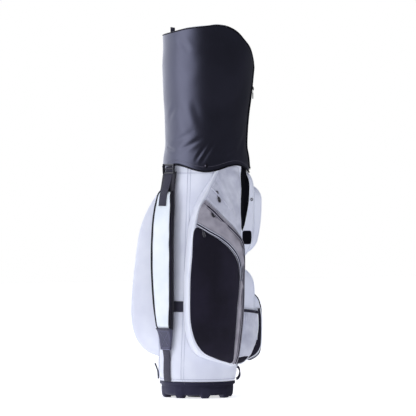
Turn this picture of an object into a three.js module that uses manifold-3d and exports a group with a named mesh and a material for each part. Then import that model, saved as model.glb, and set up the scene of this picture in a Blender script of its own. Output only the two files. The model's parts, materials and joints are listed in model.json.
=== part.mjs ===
// Golf staff bag with a rain hood: millimetres, +Z up, origin under the centre of the base.
// -Y is the ball-pocket side, +Y the spine with the shoulder strap, -X and +X the two side pockets.
import * as THREE from 'three';
import Module from 'manifold-3d';
import { mergeVertices } from 'three/addons/utils/BufferGeometryUtils.js';

const wasm = await Module();
wasm.setup();

// ---- driving dimensions ------------------------------------------------------------------
const GAP = 0.4;                 // air kept between touching pieces
const SEGMENTS = 32;             // points round the tube and the hood

const FOOT_HEIGHT = 10;
const BASE_RADIUS = 126;
const RIM_RADIUS = 132;
const RIM_BOTTOM = 46;
const RIM_TOP = 57;
const CUP_TOP = 58;

const BODY_TOP = 828;
const BODY_LEAN = 36;            // how far the top of the tube leans to the ball-pocket side
const BODY_WALL = 3;
const COLLAR_TOP = 862;

const HOOD_BOTTOM = 800;
const HOOD_SCALLOP = 12;
const HOOD_SHOULDER = 1150;
const HOOD_PEAK = 1302;
const HOOD_WALL = 2.5;

const POCKET_WALL = 3;
const PANEL_LIFT = 0.6;          // gap under a sewn-on panel
const PANEL_THICK = 1.4;

const WEBBING_WIDTH = 38;
const WEBBING_THICK = 2;

// Radius of the tube at a height, and where its centre lies along Y.
const bodyRadius = smooth([[RIM_TOP, 131], [95, 136], [300, 138], [815, 143], [900, 143]]);
const bodyCentre = (z) => -BODY_LEAN * THREE.MathUtils.clamp((z - RIM_TOP) / 760, 0, 1);

// Hood radius and centre up the wall.
const hoodRadius = smooth([
  [780, 151], [815, 149.5], [840, 147.5], [874, 142], [917, 142.5],
  [981, 146.5], [1057, 153], [HOOD_SHOULDER, 159],
]);
const hoodCentre = smooth([[780, -38], [874, -37], [981, -38], [1057, -42], [HOOD_SHOULDER, -46]]);

// Face of the side pockets: distance from the X = 0 plane, crowned about a line that leans.
const sideCrest = smooth([
  [100, 132], [163, 180], [263, 198], [480, 188], [594, 180], [698, 160], [800, 132],
]);
const sideCrestLine = smooth([
  [110, -50], [163, 20], [263, 45], [480, 38], [594, 26], [698, -9], [778, -50],
]);
const SIDE_CROWN = 0.002;
const sideFace = (y, z) => sideCrest(z) - SIDE_CROWN * (y - sideCrestLine(z)) ** 2;
const SIDE_OUTLINE = [
  [-55, 114], [-10, 122], [40, 136], [99, 162], [134, 202], [154, 262], [155, 368], [145, 480], [126, 594],
  [106, 654], [80, 696], [53, 732], [24, 775], [-30, 784], [-82, 772], [-80, 727], [-70, 672], [-68, 604],
  [-80, 500], [-80, 430], [-72, 330], [-60, 226], [-52, 163],
];
const SIDE_CENTRE = [40, 400];

// ---- small helpers -----------------------------------------------------------------------
// Smooth function through [position, value] knots.
function smooth(knots) {
  const slope = (i) => {
    const a = knots[Math.max(i - 1, 0)];
    const b = knots[Math.min(i + 1, knots.length - 1)];
    return (b[1] - a[1]) / (b[0] - a[0]);
  };
  return (x) => {
    if (x <= knots[0][0]) return knots[0][1];
    if (x >= knots[knots.length - 1][0]) return knots[knots.length - 1][1];
    let i = 0;
    while (knots[i + 1][0] < x) i += 1;
    const h = knots[i + 1][0] - knots[i][0];
    const t = (x - knots[i][0]) / h;
    const rise = (3 - 2 * t) * t * t;
    return knots[i][1] * (1 - rise) + knots[i + 1][1] * rise
      + slope(i) * h * t * (1 - t) ** 2 - slope(i + 1) * h * t * t * (1 - t);
  };
}

const vec = (x, y, z) => new THREE.Vector3(x, y, z);

// Closed outline of [a, z] knots resampled to a fixed number of points.
function resample(knots, count) {
  const curve = new THREE.CatmullRomCurve3(knots.map(([a, z]) => vec(a, z, 0)), true, 'centripetal');
  return curve.getSpacedPoints(count).slice(0, count).map((p) => [p.x, p.y]);
}

// Closed solid through a stack of rings with equal point counts, fanned shut at both ends.
function loft(rings) {
  const n = rings[0].length;
  const points = rings.flat();
  const index = [];
  for (let j = 0; j < rings.length - 1; j += 1) {
    for (let i = 0; i < n; i += 1) {
      const k = (i + 1) % n;
      const a = j * n + i;
      const b = j * n + k;
      index.push(a, b, b + n, a, b + n, a + n);
    }
  }
  const last = (rings.length - 1) * n;
  for (const [start, flip] of [[0, true], [last, false]]) {
    const ring = points.slice(start, start + n);
    const centre = ring.reduce((sum, p) => sum.clone().add(p), vec(0, 0, 0)).divideScalar(n);
    const c = points.push(centre) - 1;
    for (let i = 0; i < n; i += 1) {
      const k = (i + 1) % n;
      if (flip) index.push(c, start + k, start + i);
      else index.push(c, start + i, start + k);
    }
  }
  return facingOut(new THREE.BufferGeometry().setFromPoints(points).setIndex(index));
}

// Turns a closed geometry the right way out.
function facingOut(geometry) {
  const p = geometry.attributes.position;
  const index = geometry.index.array;
  const at = (i) => new THREE.Vector3().fromBufferAttribute(p, i);
  let volume = 0;
  for (let i = 0; i < index.length; i += 3) {
    volume += at(index[i]).dot(at(index[i + 1]).cross(at(index[i + 2])));
  }
  if (volume < 0) {
    const turned = [];
    for (let i = 0; i < index.length; i += 3) turned.push(index[i], index[i + 2], index[i + 1]);
    geometry.setIndex(turned);
  }
  return geometry;
}

function toSolid(geometry) {
  let g = geometry.clone();
  g.deleteAttribute('normal');
  g.deleteAttribute('uv');
  g = facingOut(mergeVertices(g, 1e-4));
  return new wasm.Manifold(new wasm.Mesh({
    numProp: 3,
    vertProperties: new Float32Array(g.attributes.position.array),
    triVerts: new Uint32Array(g.index.array),
  }));
}

function toGeometry(solid) {
  const m = solid.getMesh();
  const g = new THREE.BufferGeometry();
  g.setAttribute('position', new THREE.BufferAttribute(m.vertProperties, 3));
  g.setIndex(new THREE.BufferAttribute(m.triVerts, 1));
  return g;
}

function box(x0, x1, y0, y1, z0, z1) {
  const g = new THREE.BoxGeometry(x1 - x0, y1 - y0, z1 - z0);
  g.translate((x0 + x1) / 2, (y0 + y1) / 2, (z0 + z1) / 2);
  return g;
}

function lathe(profile, centreY = 0, segments = SEGMENTS) {
  const points = profile.map(([r, z]) => new THREE.Vector2(r, z));
  const g = new THREE.LatheGeometry(points, segments);
  g.rotateX(Math.PI / 2);
  g.translate(0, centreY, 0);
  return g;
}

function ring(r0, r1, z0, z1, centreY = 0) {
  return lathe([[r0, z0], [r1, z0], [r1, z1], [r0, z1], [r0, z0]], centreY);
}

// Flat strip that follows a path: at each point the width runs along `across`, the thickness along `out`.
function strip(path, across, out, width, thick, taper = () => 1) {
  const rings = path.map((p, i) => {
    const t = i / (path.length - 1);
    const half = across(t).clone().multiplyScalar((width / 2) * taper(t));
    const rise = out(t).clone().multiplyScalar(thick);
    return [
      p.clone().sub(half), p.clone().add(half),
      p.clone().add(half).add(rise), p.clone().sub(half).add(rise),
    ];
  });
  return loft(rings);
}

const group = new THREE.Group();

function material(color, roughness, metalness = 0) {
  return new THREE.MeshStandardMaterial({ color, roughness, metalness });
}

const looks = {
  white: () => material(0xe4e8f5, 0.55),
  lightGrey: () => material(0xc3c6d6, 0.5),
  satin: () => material(0x96939e, 0.4),
  black: () => material(0x1a1824, 0.6),
  hood: () => material(0x1e1e28, 0.45),
  webbing: () => material(0x3e3c4c, 0.8),
  patch: () => material(0x4a4a60, 0.7),
  moulded: () => material(0x32303e, 0.5),
  liner: () => material(0x202028, 0.9),
  metal: () => material(0xb8b4ac, 0.3, 1),
  rod: () => material(0xa8aab0, 0.4, 1),
};

function add(name, shape, look) {
  const geometry = shape.isBufferGeometry ? shape : toGeometry(shape);
  const mesh = new THREE.Mesh(geometry, looks[look]());
  mesh.name = name;
  group.add(mesh);
  return mesh;
}

// ---- tube --------------------------------------------------------------------------------
const BODY_LEVELS = [RIM_TOP, 95, 300, 560, 815, BODY_TOP];

// Filled tube between two heights, its surface moved out by `offset`.
function bodySolid(offset, z0, z1) {
  const levels = [z0, ...BODY_LEVELS.filter((z) => z > z0 + 1 && z < z1 - 1), z1];
  return toSolid(loft(levels.map((z) => {
    const r = bodyRadius(z) + offset;
    return Array.from({ length: SEGMENTS }, (_, i) => {
      const a = (i / SEGMENTS) * Math.PI * 2;
      return vec(r * Math.cos(a), bodyCentre(z) + r * Math.sin(a), z);
    });
  })));
}

const bodyKeepOut = bodySolid(GAP, 20, 900);

function addTube() {
  const shell = bodySolid(0, RIM_TOP + GAP, BODY_TOP).subtract(bodySolid(-BODY_WALL, 20, 900));
  add('body_shell', shell, 'white');
  const linerBottom = CUP_TOP + GAP;
  add('bottom_liner', lathe([[0, linerBottom], [126.5, linerBottom], [126.5, 62], [0, 62]]), 'liner');
  const skin = bodySolid(-BODY_WALL - 0.6, 20, 900).subtract(bodySolid(-BODY_WALL - 3.6, 10, 910));
  add('spine_board', skin.intersect(toSolid(box(-45, 45, 60, 200, 63, 790))), 'liner');
  const [low, high] = [CUP_TOP + 5, BODY_TOP - 16];
  const acrossTube = toSolid(box(-160, 160, -20.8, -19.2, low, high));
  const cross = acrossTube.add(toSolid(box(-0.8, 0.8, -200, 160, low, high)));
  add('full_length_divider', cross.intersect(bodySolid(-14, 20, 900)), 'liner');
  for (let i = 0; i < 4; i += 1) {
    const a = ((i + 0.5) / 4) * Math.PI * 2;
    const foot = vec(123 * Math.cos(a), 123 * Math.sin(a), 62.5);
    const head = vec(133 * Math.cos(a), -BODY_LEAN + 133 * Math.sin(a), 790);
    const rod = new THREE.ExtrudeGeometry(circle(3, 8), {
      steps: 1, bevelEnabled: false, extrudePath: new THREE.LineCurve3(foot, head),
    });
    add(`stay_rod_${i + 1}`, toSolid(rod), 'rod');
  }
}

function circle(radius, segments) {
  const shape = new THREE.Shape();
  for (let i = 0; i <= segments; i += 1) {
    const a = (i / segments) * Math.PI * 2;
    const x = radius * Math.cos(a);
    const y = radius * Math.sin(a);
    if (i === 0) shape.moveTo(x, y);
    else shape.lineTo(x, y);
  }
  return shape;
}

// ---- base --------------------------------------------------------------------------------
const LUG_COUNT = 8;

function addBase() {
  let cup = toSolid(lathe([
    [0, FOOT_HEIGHT], [119, FOOT_HEIGHT], [BASE_RADIUS - 1, 18], [BASE_RADIUS, CUP_TOP],
    [BASE_RADIUS - 5, CUP_TOP], [BASE_RADIUS - 6, 20], [0, 15],
  ]));
  for (let i = 0; i < LUG_COUNT; i += 1) {
    const shape = new THREE.Shape();
    shape.moveTo(-24, 12);
    shape.lineTo(-17, 0);
    shape.lineTo(17, 0);
    shape.lineTo(24, 12);
    const lug = new THREE.ExtrudeGeometry(shape, { depth: 22, bevelEnabled: false });
    lug.rotateX(Math.PI / 2);
    lug.translate(0, 119, 0);
    lug.rotateZ(((i + 0.5) / LUG_COUNT) * Math.PI * 2);
    cup = cup.add(toSolid(lug));
  }
  add('base_cup', cup, 'moulded');
  add('base_rim_band', ring(BASE_RADIUS + GAP, RIM_RADIUS, RIM_BOTTOM, RIM_TOP), 'moulded');
  const padTop = FOOT_HEIGHT - GAP;
  add('base_center_pad', lathe([[0, 0], [34, 0], [38, 5], [38, padTop], [0, padTop]]), 'black');
}

// ---- collar and dividers -----------------------------------------------------------------
function addCollar() {
  add('top_collar', lathe([
    [130, 795], [137.5, 795], [137.5, BODY_TOP + GAP], [141, BODY_TOP + GAP], [141, 848],
    [137, COLLAR_TOP], [130, COLLAR_TOP], [130, 795],
  ], -BODY_LEAN), 'moulded');
  let grid = toSolid(ring(121, 129.4, 816, 846, -BODY_LEAN));
  for (const y of [-66, -6]) {
    grid = grid.add(toSolid(box(-124, 124, y - 3, y + 3, 816, 846)).intersect(
      toSolid(lathe([[0, 816], [125, 816], [125, 846], [0, 846]], -BODY_LEAN)),
    ));
  }
  for (const x of [-42, 42]) grid = grid.add(toSolid(box(x - 3, x + 3, -146, 74, 816, 846)));
  add('divider_grid', grid, 'moulded');
  for (const [name, side] of [['collar_handle_front', -1], ['collar_handle_rear', 1]]) {
    const reach = 0.42;
    const points = Array.from({ length: 11 }, (_, i) => {
      const t = i / 10;
      const a = side * (Math.PI / 2 + (t - 0.5) * 2 * reach * side);
      const lift = 7 + 24 * Math.sin(Math.PI * t) ** 0.7;
      return vec(128 * Math.cos(a), -BODY_LEAN + 128 * Math.sin(a), COLLAR_TOP + lift - 1);
    });
    const bar = new THREE.ExtrudeGeometry(circle(6, 8), {
      steps: 10, bevelEnabled: false, extrudePath: new THREE.CatmullRomCurve3(points),
    });
    add(name, toSolid(bar).subtract(toSolid(lathe([
      [0, 700], [180, 700], [180, COLLAR_TOP + GAP], [0, COLLAR_TOP + GAP],
    ], -BODY_LEAN))), 'moulded');
  }
}

// ---- pockets -----------------------------------------------------------------------------
// Filled pocket grown by `offset`: rings from inside the tube, up the wall, over the edge and across
// the face.
// outline: [along, z] points; face(along, z): how far out; place(along, out, z): a point in space.
function pocketSolid({ outline, centre, face, place, root, waist, edge }, offset) {
  const grown = outline.map(([a, z]) => {
    const da = a - centre[0];
    const dz = z - centre[1];
    const length = Math.hypot(da, dz);
    return [a + (da / length) * offset, z + (dz / length) * offset];
  });
  const at = (k, out) => grown.map(([a, z]) => {
    const p = centre[0] + (a - centre[0]) * k;
    const q = centre[1] + (z - centre[1]) * k;
    return place(p, out(p, q) + offset, q);
  });
  const rings = [
    grown.map(([a, z]) => place(a * waist, root, z)),
    grown.map(([a, z]) => place(a, face(a, z) - edge * 2 + offset, z)),
    at(1, (a, z) => face(a, z) - edge),
    at(0.985, (a, z) => face(a, z) - edge * 0.25),
  ];
  for (const k of [0.94, 0.72, 0.4]) rings.push(at(k, face));
  return toSolid(loft(rings));
}

function pocketShell(spec) {
  return pocketSolid(spec, 0).subtract(pocketSolid({ ...spec, root: spec.root - 20 }, -POCKET_WALL))
    .subtract(bodyKeepOut);
}

const onMinusX = (y, out, z) => vec(-out, y, z);
const onPlusX = (y, out, z) => vec(out, y, z);
const onMinusY = (x, out, z) => vec(x, -out, z);

const sideSpec = {
  outline: resample(SIDE_OUTLINE, 34),
  centre: SIDE_CENTRE,
  face: sideFace,
  place: onMinusX,
  root: 40,
  waist: 0.56,
  edge: 8,
};

// Front pockets: a body layer on the tube and an outer pocket on each.
const upperBodyFace = smooth([[470, 148], [540, 176], [600, 186], [738, 184], [783, 172], [800, 156]]);
const upperPocketFace = smooth([[500, 180], [540, 206], [616, 223], [700, 226], [737, 214]]);
const ballBodyFace = smooth([[118, 150], [160, 172], [300, 184], [384, 184], [424, 172], [455, 146]]);
const ballPocketFace = smooth([[126, 186], [150, 210], [195, 219], [300, 219], [340, 208], [362, 196]]);

// Rounded upright outline for a front pocket.
function frontOutline(half, z0, z1, corner) {
  const shape = new THREE.Shape();
  shape.absarc(half - corner, z0 + corner, corner, -Math.PI / 2, 0);
  shape.absarc(half - corner, z1 - corner, corner, 0, Math.PI / 2);
  shape.absarc(-half + corner, z1 - corner, corner, Math.PI / 2, Math.PI);
  shape.absarc(-half + corner, z0 + corner, corner, Math.PI, Math.PI * 1.5);
  shape.closePath();
  return shape.getSpacedPoints(28).slice(0, 28).map((p) => [p.x, p.y]);
}

function frontSpec(half, z0, z1, corner, crest, root, edge) {
  return {
    outline: frontOutline(half, z0, z1, corner),
    centre: [0, (z0 + z1) / 2],
    face: (x, z) => crest(z) - 0.0011 * x * x,
    place: onMinusY,
    root,
    waist: 1,
    edge,
  };
}

const upperBodySpec = frontSpec(106, 478, 797, 60, upperBodyFace, 60, 10);
const upperPocketSpec = frontSpec(88, 502, 737, 50, upperPocketFace, 150, 8);
const ballBodySpec = frontSpec(112, 112, 455, 55, ballBodyFace, 60, 10);
const ballPocketSpec = frontSpec(94, 126, 362, 34, ballPocketFace, 150, 7);

function addPockets() {
  add('side_pocket', pocketShell(sideSpec), 'white');
  add('apparel_pocket', pocketShell({ ...sideSpec, place: onPlusX }), 'white');
  const sideKeepOut = pocketSolid(sideSpec, GAP).add(pocketSolid({ ...sideSpec, place: onPlusX }, GAP));
  const upperBody = pocketShell(upperBodySpec).subtract(sideKeepOut);
  const ballBody = pocketShell(ballBodySpec).subtract(sideKeepOut);
  add('front_upper_body', largest(upperBody), 'white');
  add('ball_pocket_body', largest(ballBody), 'white');
  const onUpper = pocketShell(upperPocketSpec).subtract(pocketSolid(upperBodySpec, GAP));
  const onBall = pocketShell(ballPocketSpec).subtract(pocketSolid(ballBodySpec, GAP));
  add('front_upper_pocket', largest(onUpper), 'white');
  add('ball_pocket_outer', largest(onBall), 'black');
  addSidePanels();
  addFlankPieces();
}

// The biggest separate body of a solid.
function largest(solid) {
  return solid.decompose().sort((a, b) => b.volume() - a.volume())[0];
}

// Sewn-on panels of the -X pocket: outlines in [y, z], cut from a skin that follows pocket and tube.
const BLACK_PANEL = [
  [-36, 124], [-8, 129], [38, 143], [91, 168], [126, 207], [145, 265], [147, 368], [137, 480], [120, 594],
  [81, 571], [32, 543], [-8, 514], [-34, 486], [-48, 455], [-51, 406], [-36, 320], [-26, 226], [-26, 163],
];
const SATIN_BAND = [
  [-48, 122], [-40, 124], [-30, 163], [-30, 226], [-40, 320], [-55, 406], [-52, 456], [-38, 489],
  [-12, 519],
  [29, 548], [79, 576], [119, 600], [111, 632], [98, 660], [78, 688], [54, 662], [21, 629], [-28, 588],
  [-62, 553], [-72, 525], [-74, 494], [-68, 424], [-58, 320], [-46, 226], [-44, 163],
];
const UPPER_PANEL = [
  [76, 694], [50, 728], [20, 768], [-20, 776], [-50, 777], [-74, 768], [-74, 727], [-64, 672], [-62, 610],
  [-61, 558], [-26, 594], [23, 634], [56, 668],
];

function outlineShape(points) {
  const shape = new THREE.Shape();
  points.forEach(([a, z], i) => {
    if (i === 0) shape.moveTo(a, z);
    else shape.lineTo(a, z);
  });
  shape.closePath();
  return shape;
}

// Prism standing out along -X over a [y, z] outline.
function prismMinusX(points) {
  const g = new THREE.ExtrudeGeometry(outlineShape(points), { depth: 160, bevelEnabled: false });
  g.applyMatrix4(new THREE.Matrix4().makeBasis(vec(0, 1, 0), vec(0, 0, 1), vec(-1, 0, 0)));
  g.translate(-80, 0, 0);
  return toSolid(g);
}

function addSidePanels() {
  const grown = (offset) => pocketSolid(sideSpec, offset).add(bodySolid(offset, 20, 900));
  const skin = grown(PANEL_LIFT + PANEL_THICK).subtract(grown(PANEL_LIFT));
  const upperKeepOut = pocketSolid(upperBodySpec, GAP).add(pocketSolid(ballBodySpec, GAP));
  const parts = [
    ['side_pocket_black_panel', BLACK_PANEL, 'black'],
    ['side_pocket_satin_band', SATIN_BAND, 'satin'],
    ['side_pocket_upper_panel', UPPER_PANEL, 'lightGrey'],
  ];
  for (const [name, outline, look] of parts) {
    add(name, largest(skin.intersect(prismMinusX(outline)).subtract(upperKeepOut)), look);
  }
}

// Pieces on the -X flank of the front pockets.
function addFlankPieces() {
  const upper = (offset) => pocketSolid(upperBodySpec, offset);
  const ball = (offset) => pocketSolid(ballBodySpec, offset);
  const keepOut = pocketSolid(sideSpec, 2.6).add(bodyKeepOut);
  const outer = pocketSolid(upperPocketSpec, GAP).add(pocketSolid(ballPocketSpec, GAP));
  const cut = (skin, outline) => {
    const inside = skin.intersect(prismMinusX(outline));
    return largest(inside.subtract(keepOut).subtract(outer));
  };
  const upperSkin = upper(2).subtract(upper(PANEL_LIFT));
  add('slot_lining', cut(upperSkin, [
    [-92, 786], [-138, 786], [-142, 730], [-138, 680], [-126, 620], [-108, 588], [-94, 600],
  ]), 'black');
  add('glove_patch', cut(upperSkin, [[-128, 534], [-158, 534], [-158, 579], [-128, 579]]), 'black');
  const slip = ball(12).subtract(ball(9.5)).add(ball(12).subtract(ball(1)).intersect(toSolid(
    box(-200, -60, -176, -90, 150, 158),
  )));
  add('slip_pocket', cut(slip, [[-100, 150], [-172, 150], [-172, 296], [-100, 296]]), 'lightGrey');
  add('slip_pocket_elastic', cut(ball(12.5).subtract(ball(9)), [
    [-100, 297], [-172, 297], [-172, 307], [-100, 307],
  ]), 'webbing');
}

// ---- hood --------------------------------------------------------------------------------
// The hood's front, with its zip, faces 36 degrees off -Y towards -X.
const HOOD_FRONT = (234 / 180) * Math.PI;
const HOOD_EDGE = 6;             // rounding where the wall turns into the top
const hoodEdge = (a) => HOOD_BOTTOM - HOOD_SCALLOP * Math.cos(4 * (a - HOOD_FRONT));

// Height of the top along the line from the hood's back to its front.
const hoodTop = smooth([
  [-160, 1266], [-130, 1274], [-75, 1289], [0, 1299], [27, HOOD_PEAK], [58, 1298], [85, 1286],
  [107, 1270], [129, 1245], [146, 1220], [155, 1190], [160, HOOD_SHOULDER],
]);

function hoodPoint(a, z, r) {
  return vec(r * Math.cos(a), hoodCentre(Math.min(z, HOOD_SHOULDER)) + r * Math.sin(a), z);
}

function hoodRings(offset, bottomShift) {
  const angles = Array.from({ length: SEGMENTS }, (_, i) => HOOD_FRONT + (i / SEGMENTS) * Math.PI * 2);
  const top = (a, share) => {
    const r = (hoodRadius(HOOD_SHOULDER) + offset) * share;
    return hoodPoint(a, hoodTop(r * Math.cos(a - HOOD_FRONT)) + offset, r);
  };
  const walls = [0, 0.1, 0.2, 0.32, 0.5, 0.7, 0.86, 1].map((k) => angles.map((a) => {
    const low = hoodEdge(a) + bottomShift;
    const z = low + (top(a, 1).z - HOOD_EDGE - low) * k;
    return hoodPoint(a, z, hoodRadius(z) + offset);
  }));
  return walls.concat([0.985, 0.9, 0.75, 0.5, 0.22].map((share) => angles.map((a) => top(a, share))));
}

const PIPING_DROP = 3.4;         // centre of the piping below the hood's edge

function hoodPiping() {
  const sides = 4;
  const radius = 2.2;
  const rings = Array.from({ length: 48 }, (_, i) => {
    const a = (i / 48) * Math.PI * 2;
    const z = hoodEdge(a) - PIPING_DROP;
    const middle = hoodPoint(a, z, hoodRadius(z) - 0.6);
    const out = vec(Math.cos(a), Math.sin(a), 0);
    return Array.from({ length: sides }, (_unused, k) => {
      const turn = (k / sides) * Math.PI * 2;
      const rise = vec(0, 0, radius * Math.sin(turn));
      return middle.clone().addScaledVector(out, radius * Math.cos(turn)).add(rise);
    });
  });
  return torus(rings);
}

function hoodTab() {
  const back = vec(-Math.cos(HOOD_FRONT), -Math.sin(HOOD_FRONT), 0);
  const across = vec(-back.y, back.x, 0);
  const foot = vec(0, hoodCentre(HOOD_SHOULDER), 1276).addScaledVector(back, 124);
  const path = Array.from({ length: 9 }, (_, i) => {
    const a = (i / 8) * Math.PI;
    return foot.clone().addScaledVector(back, 8 * Math.cos(a)).add(vec(0, 0, 19 * Math.sin(a)));
  });
  const outward = (t) => {
    const a = t * Math.PI;
    return back.clone().multiplyScalar(Math.cos(a)).add(vec(0, 0, Math.sin(a)));
  };
  const loop = toSolid(strip(path, () => across, outward, 18, WEBBING_THICK));
  return loop.subtract(toSolid(loft(hoodRings(GAP, 0))));
}

function addHood() {
  const shell = toSolid(loft(hoodRings(0, 0))).subtract(toSolid(loft(hoodRings(-HOOD_WALL, -20))));
  add('hood_shell', shell, 'hood');
  add('hood_piping', hoodPiping(), 'hood');
  for (let i = 0; i < 4; i += 1) {
    const z = HOOD_BOTTOM + 12;
    const cap = new THREE.CylinderGeometry(5.5, 6.5, 3, 12);
    cap.rotateZ(-Math.PI / 2);
    cap.translate(hoodRadius(z) + 2.6, 0, 0);
    cap.rotateZ(HOOD_FRONT + (i * Math.PI) / 2);
    cap.translate(0, hoodCentre(z), z);
    add(`snap_cap_${i + 1}`, cap, 'metal');
  }
  add('hood_tab', hoodTab(), 'webbing');
}

// Closed ring-shaped solid from a loop of sections.
function torus(rings) {
  const n = rings[0].length;
  const index = [];
  for (let j = 0; j < rings.length; j += 1) {
    const next = (j + 1) % rings.length;
    for (let i = 0; i < n; i += 1) {
      const k = (i + 1) % n;
      index.push(j * n + i, j * n + k, next * n + k, j * n + i, next * n + k, next * n + i);
    }
  }
  return facingOut(new THREE.BufferGeometry().setFromPoints(rings.flat()).setIndex(index));
}

// ---- shoulder strap ----------------------------------------------------------------------
// Middle of the strap's inner face, its turn about the upright and the padded part's width, by height.
const strapX = smooth([[165, -12], [240, -11], [330, -6], [476, -3], [600, 1], [711, 2.5], [790, 4]]);
const strapInner = smooth([
  [165, 139], [240, 138], [330, 142], [476, 144], [600, 138], [711, 126], [790, 121],
]);
const strapYaw = smooth([[165, 8], [240, 8], [330, 18], [600, 18], [711, 8], [790, 4]]);
const strapWidth = smooth([
  [170, 52], [238, 69], [289, 73], [346, 80], [433, 85], [520, 85], [654, 80], [695, 69], [722, 56],
  [772, 50],
]);
const BACKING_THICK = 10;
const PAD_THICK = 13;

function strapAcross(z) {
  const yaw = THREE.MathUtils.degToRad(strapYaw(z));
  return vec(Math.cos(yaw), Math.sin(yaw), 0);
}

const strapOut = (z) => vec(-strapAcross(z).y, strapAcross(z).x, 0);

// Band along the strap through the given heights; `lift` and `width` are functions of height.
function strapBand(heights, lift, width, thick) {
  const path = heights.map((z) => vec(strapX(z), strapInner(z), z).addScaledVector(strapOut(z), lift(z)));
  const at = (t) => heights[Math.round(t * (heights.length - 1))];
  const across = (t) => strapAcross(at(t));
  const out = (t) => strapOut(at(t));
  return toSolid(strip(path, across, out, 1, thick, (t) => width(at(t))));
}

function evenHeights(low, high, steps) {
  return Array.from({ length: steps + 1 }, (_, i) => low + ((high - low) * i) / steps);
}

function strapBuckle() {
  const [x0, x1] = [-20, 28];
  const bar = 4;
  let frame = toSolid(box(x0, x1, 121, 134, 778, 814));
  for (const slotLow of [786, 798]) {
    frame = frame.subtract(toSolid(box(x0 + bar, x1 - bar, 120, 135, slotLow, slotLow + 6)));
  }
  return frame;
}

function addStrap() {
  const padTop = BACKING_THICK + GAP + PAD_THICK;
  const webbingLift = smooth([[667, padTop + GAP], [724, padTop + GAP], [745, 14], [776, 12]]);
  const padHeights = evenHeights(240, 720, 18);
  const backingHeights = [238, ...padHeights, 738, 755, 772];
  const webbingHeights = [667, ...padHeights.slice(-2), 724, 732, 745, 760, 776];
  const wider = (z) => strapWidth(z) + 4;
  const overlap = 5;
  const backingKeepOut = strapBand(backingHeights, () => -overlap, wider, overlap + BACKING_THICK + GAP);
  const padWithOverlap = (gap) => strapBand(padHeights, () => overlap, strapWidth, padTop - overlap + gap);
  add('strap_backing', strapBand(backingHeights, () => 0, strapWidth, BACKING_THICK), 'black');
  add('strap_pad', padWithOverlap(0).subtract(backingKeepOut), 'white');
  add('strap_end_patch', strapBand(evenHeights(170, 237.6, 3), () => 2, strapWidth, 12), 'patch');
  const webbing = strapBand(webbingHeights, webbingLift, () => WEBBING_WIDTH, WEBBING_THICK);
  add('strap_top_webbing', webbing.subtract(padWithOverlap(GAP)), 'webbing');
  add('strap_buckle', strapBuckle(), 'black');
  const onTube = bodySolid(WEBBING_THICK + 0.6, RIM_TOP + 2, 165).subtract(bodySolid(0.6, RIM_TOP, 175));
  add('strap_bottom_webbing', onTube.intersect(toSolid(box(-25, 13, 60, 200, RIM_TOP, 175))), 'webbing');
}

// Webbing band sewn round the back of the tube, under the strap, from one side pocket to the other.
function addKeeperBand() {
  const [low, high] = [300, 337];
  const reach = 104;
  const ring = bodySolid(WEBBING_THICK + 1, low, high).subtract(bodySolid(0.6, low - 10, high + 10));
  const behind = ring.intersect(toSolid(box(-reach, reach, 60, 200, low, high)));
  const sidePockets = pocketSolid(sideSpec, 1).add(pocketSolid({ ...sideSpec, place: onPlusX }, 1));
  add('keeper_band', behind.subtract(sidePockets), 'webbing');
}

// Webbing loops just above the base: an open D at the front, one folded flat and leaning out at the back.
function addBaseLoops() {
  const width = 10;
  const middle = { r: 141, z: 83 };
  const reach = 10;
  const halfHeight = 20;
  const front = vec(-0.438, -0.899, 0);
  const arc = Array.from({ length: 11 }, (_, i) => (i / 10 - 0.5) * Math.PI);
  const open = arc.map((a) => {
    const out = front.clone().multiplyScalar(middle.r + reach * Math.cos(a));
    return out.add(vec(0, 0, middle.z + halfHeight * Math.sin(a)));
  });
  const outward = (t) => {
    const a = (t - 0.5) * Math.PI;
    return front.clone().multiplyScalar(Math.cos(a)).add(vec(0, 0, Math.sin(a)));
  };
  add('base_loop_front', strip(open, () => vec(-front.y, front.x, 0), outward, width, 2.5), 'webbing');
  const rear = vec(0.695, 0.719, 0);
  const leaning = [[137.5, 64], [138, 76], [139, 88], [142, 98], [146, 108], [149.5, 117]].map(
    ([r, z]) => rear.clone().multiplyScalar(r).add(vec(0, 0, z)),
  );
  add('base_loop_rear', strip(leaning, () => vec(-rear.y, rear.x, 0), () => rear, width, 4), 'webbing');
}

// ---- zip sliders and pulls ---------------------------------------------------------------
const SLIDER = { length: 12, width: 9, bottom: 3.2, top: 7.2 };
const PULL = { length: 29, width: 9, thick: 2, start: 1.6 };

// `origin`: a point on the face; `normal`: out of the face; `run`: along the zip, the way the pull hangs.
function addZip(name, origin, normal, run) {
  const out = normal.clone().normalize();
  const along = run.clone().addScaledVector(out, -run.dot(out)).normalize();
  const side = out.clone().cross(along);
  const place = new THREE.Matrix4().makeBasis(along, side, out).setPosition(origin);
  const half = SLIDER.length / 2;
  const body = box(-half, half, -SLIDER.width / 2, SLIDER.width / 2, SLIDER.bottom, SLIDER.top);
  add(`${name}_slider`, body.applyMatrix4(place), 'metal');
  const shape = new THREE.Shape();
  shape.moveTo(0, -PULL.width * 0.32);
  shape.lineTo(PULL.length * 0.75, -PULL.width / 2);
  shape.lineTo(PULL.length, -PULL.width * 0.3);
  shape.lineTo(PULL.length, PULL.width * 0.3);
  shape.lineTo(PULL.length * 0.75, PULL.width / 2);
  shape.lineTo(0, PULL.width * 0.32);
  shape.closePath();
  const tab = new THREE.ExtrudeGeometry(shape, { depth: PULL.thick, bevelEnabled: false });
  tab.translate(half + PULL.start, 0, 4.2);
  add(`${name}_pull`, tab.applyMatrix4(place), 'metal');
}

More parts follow.
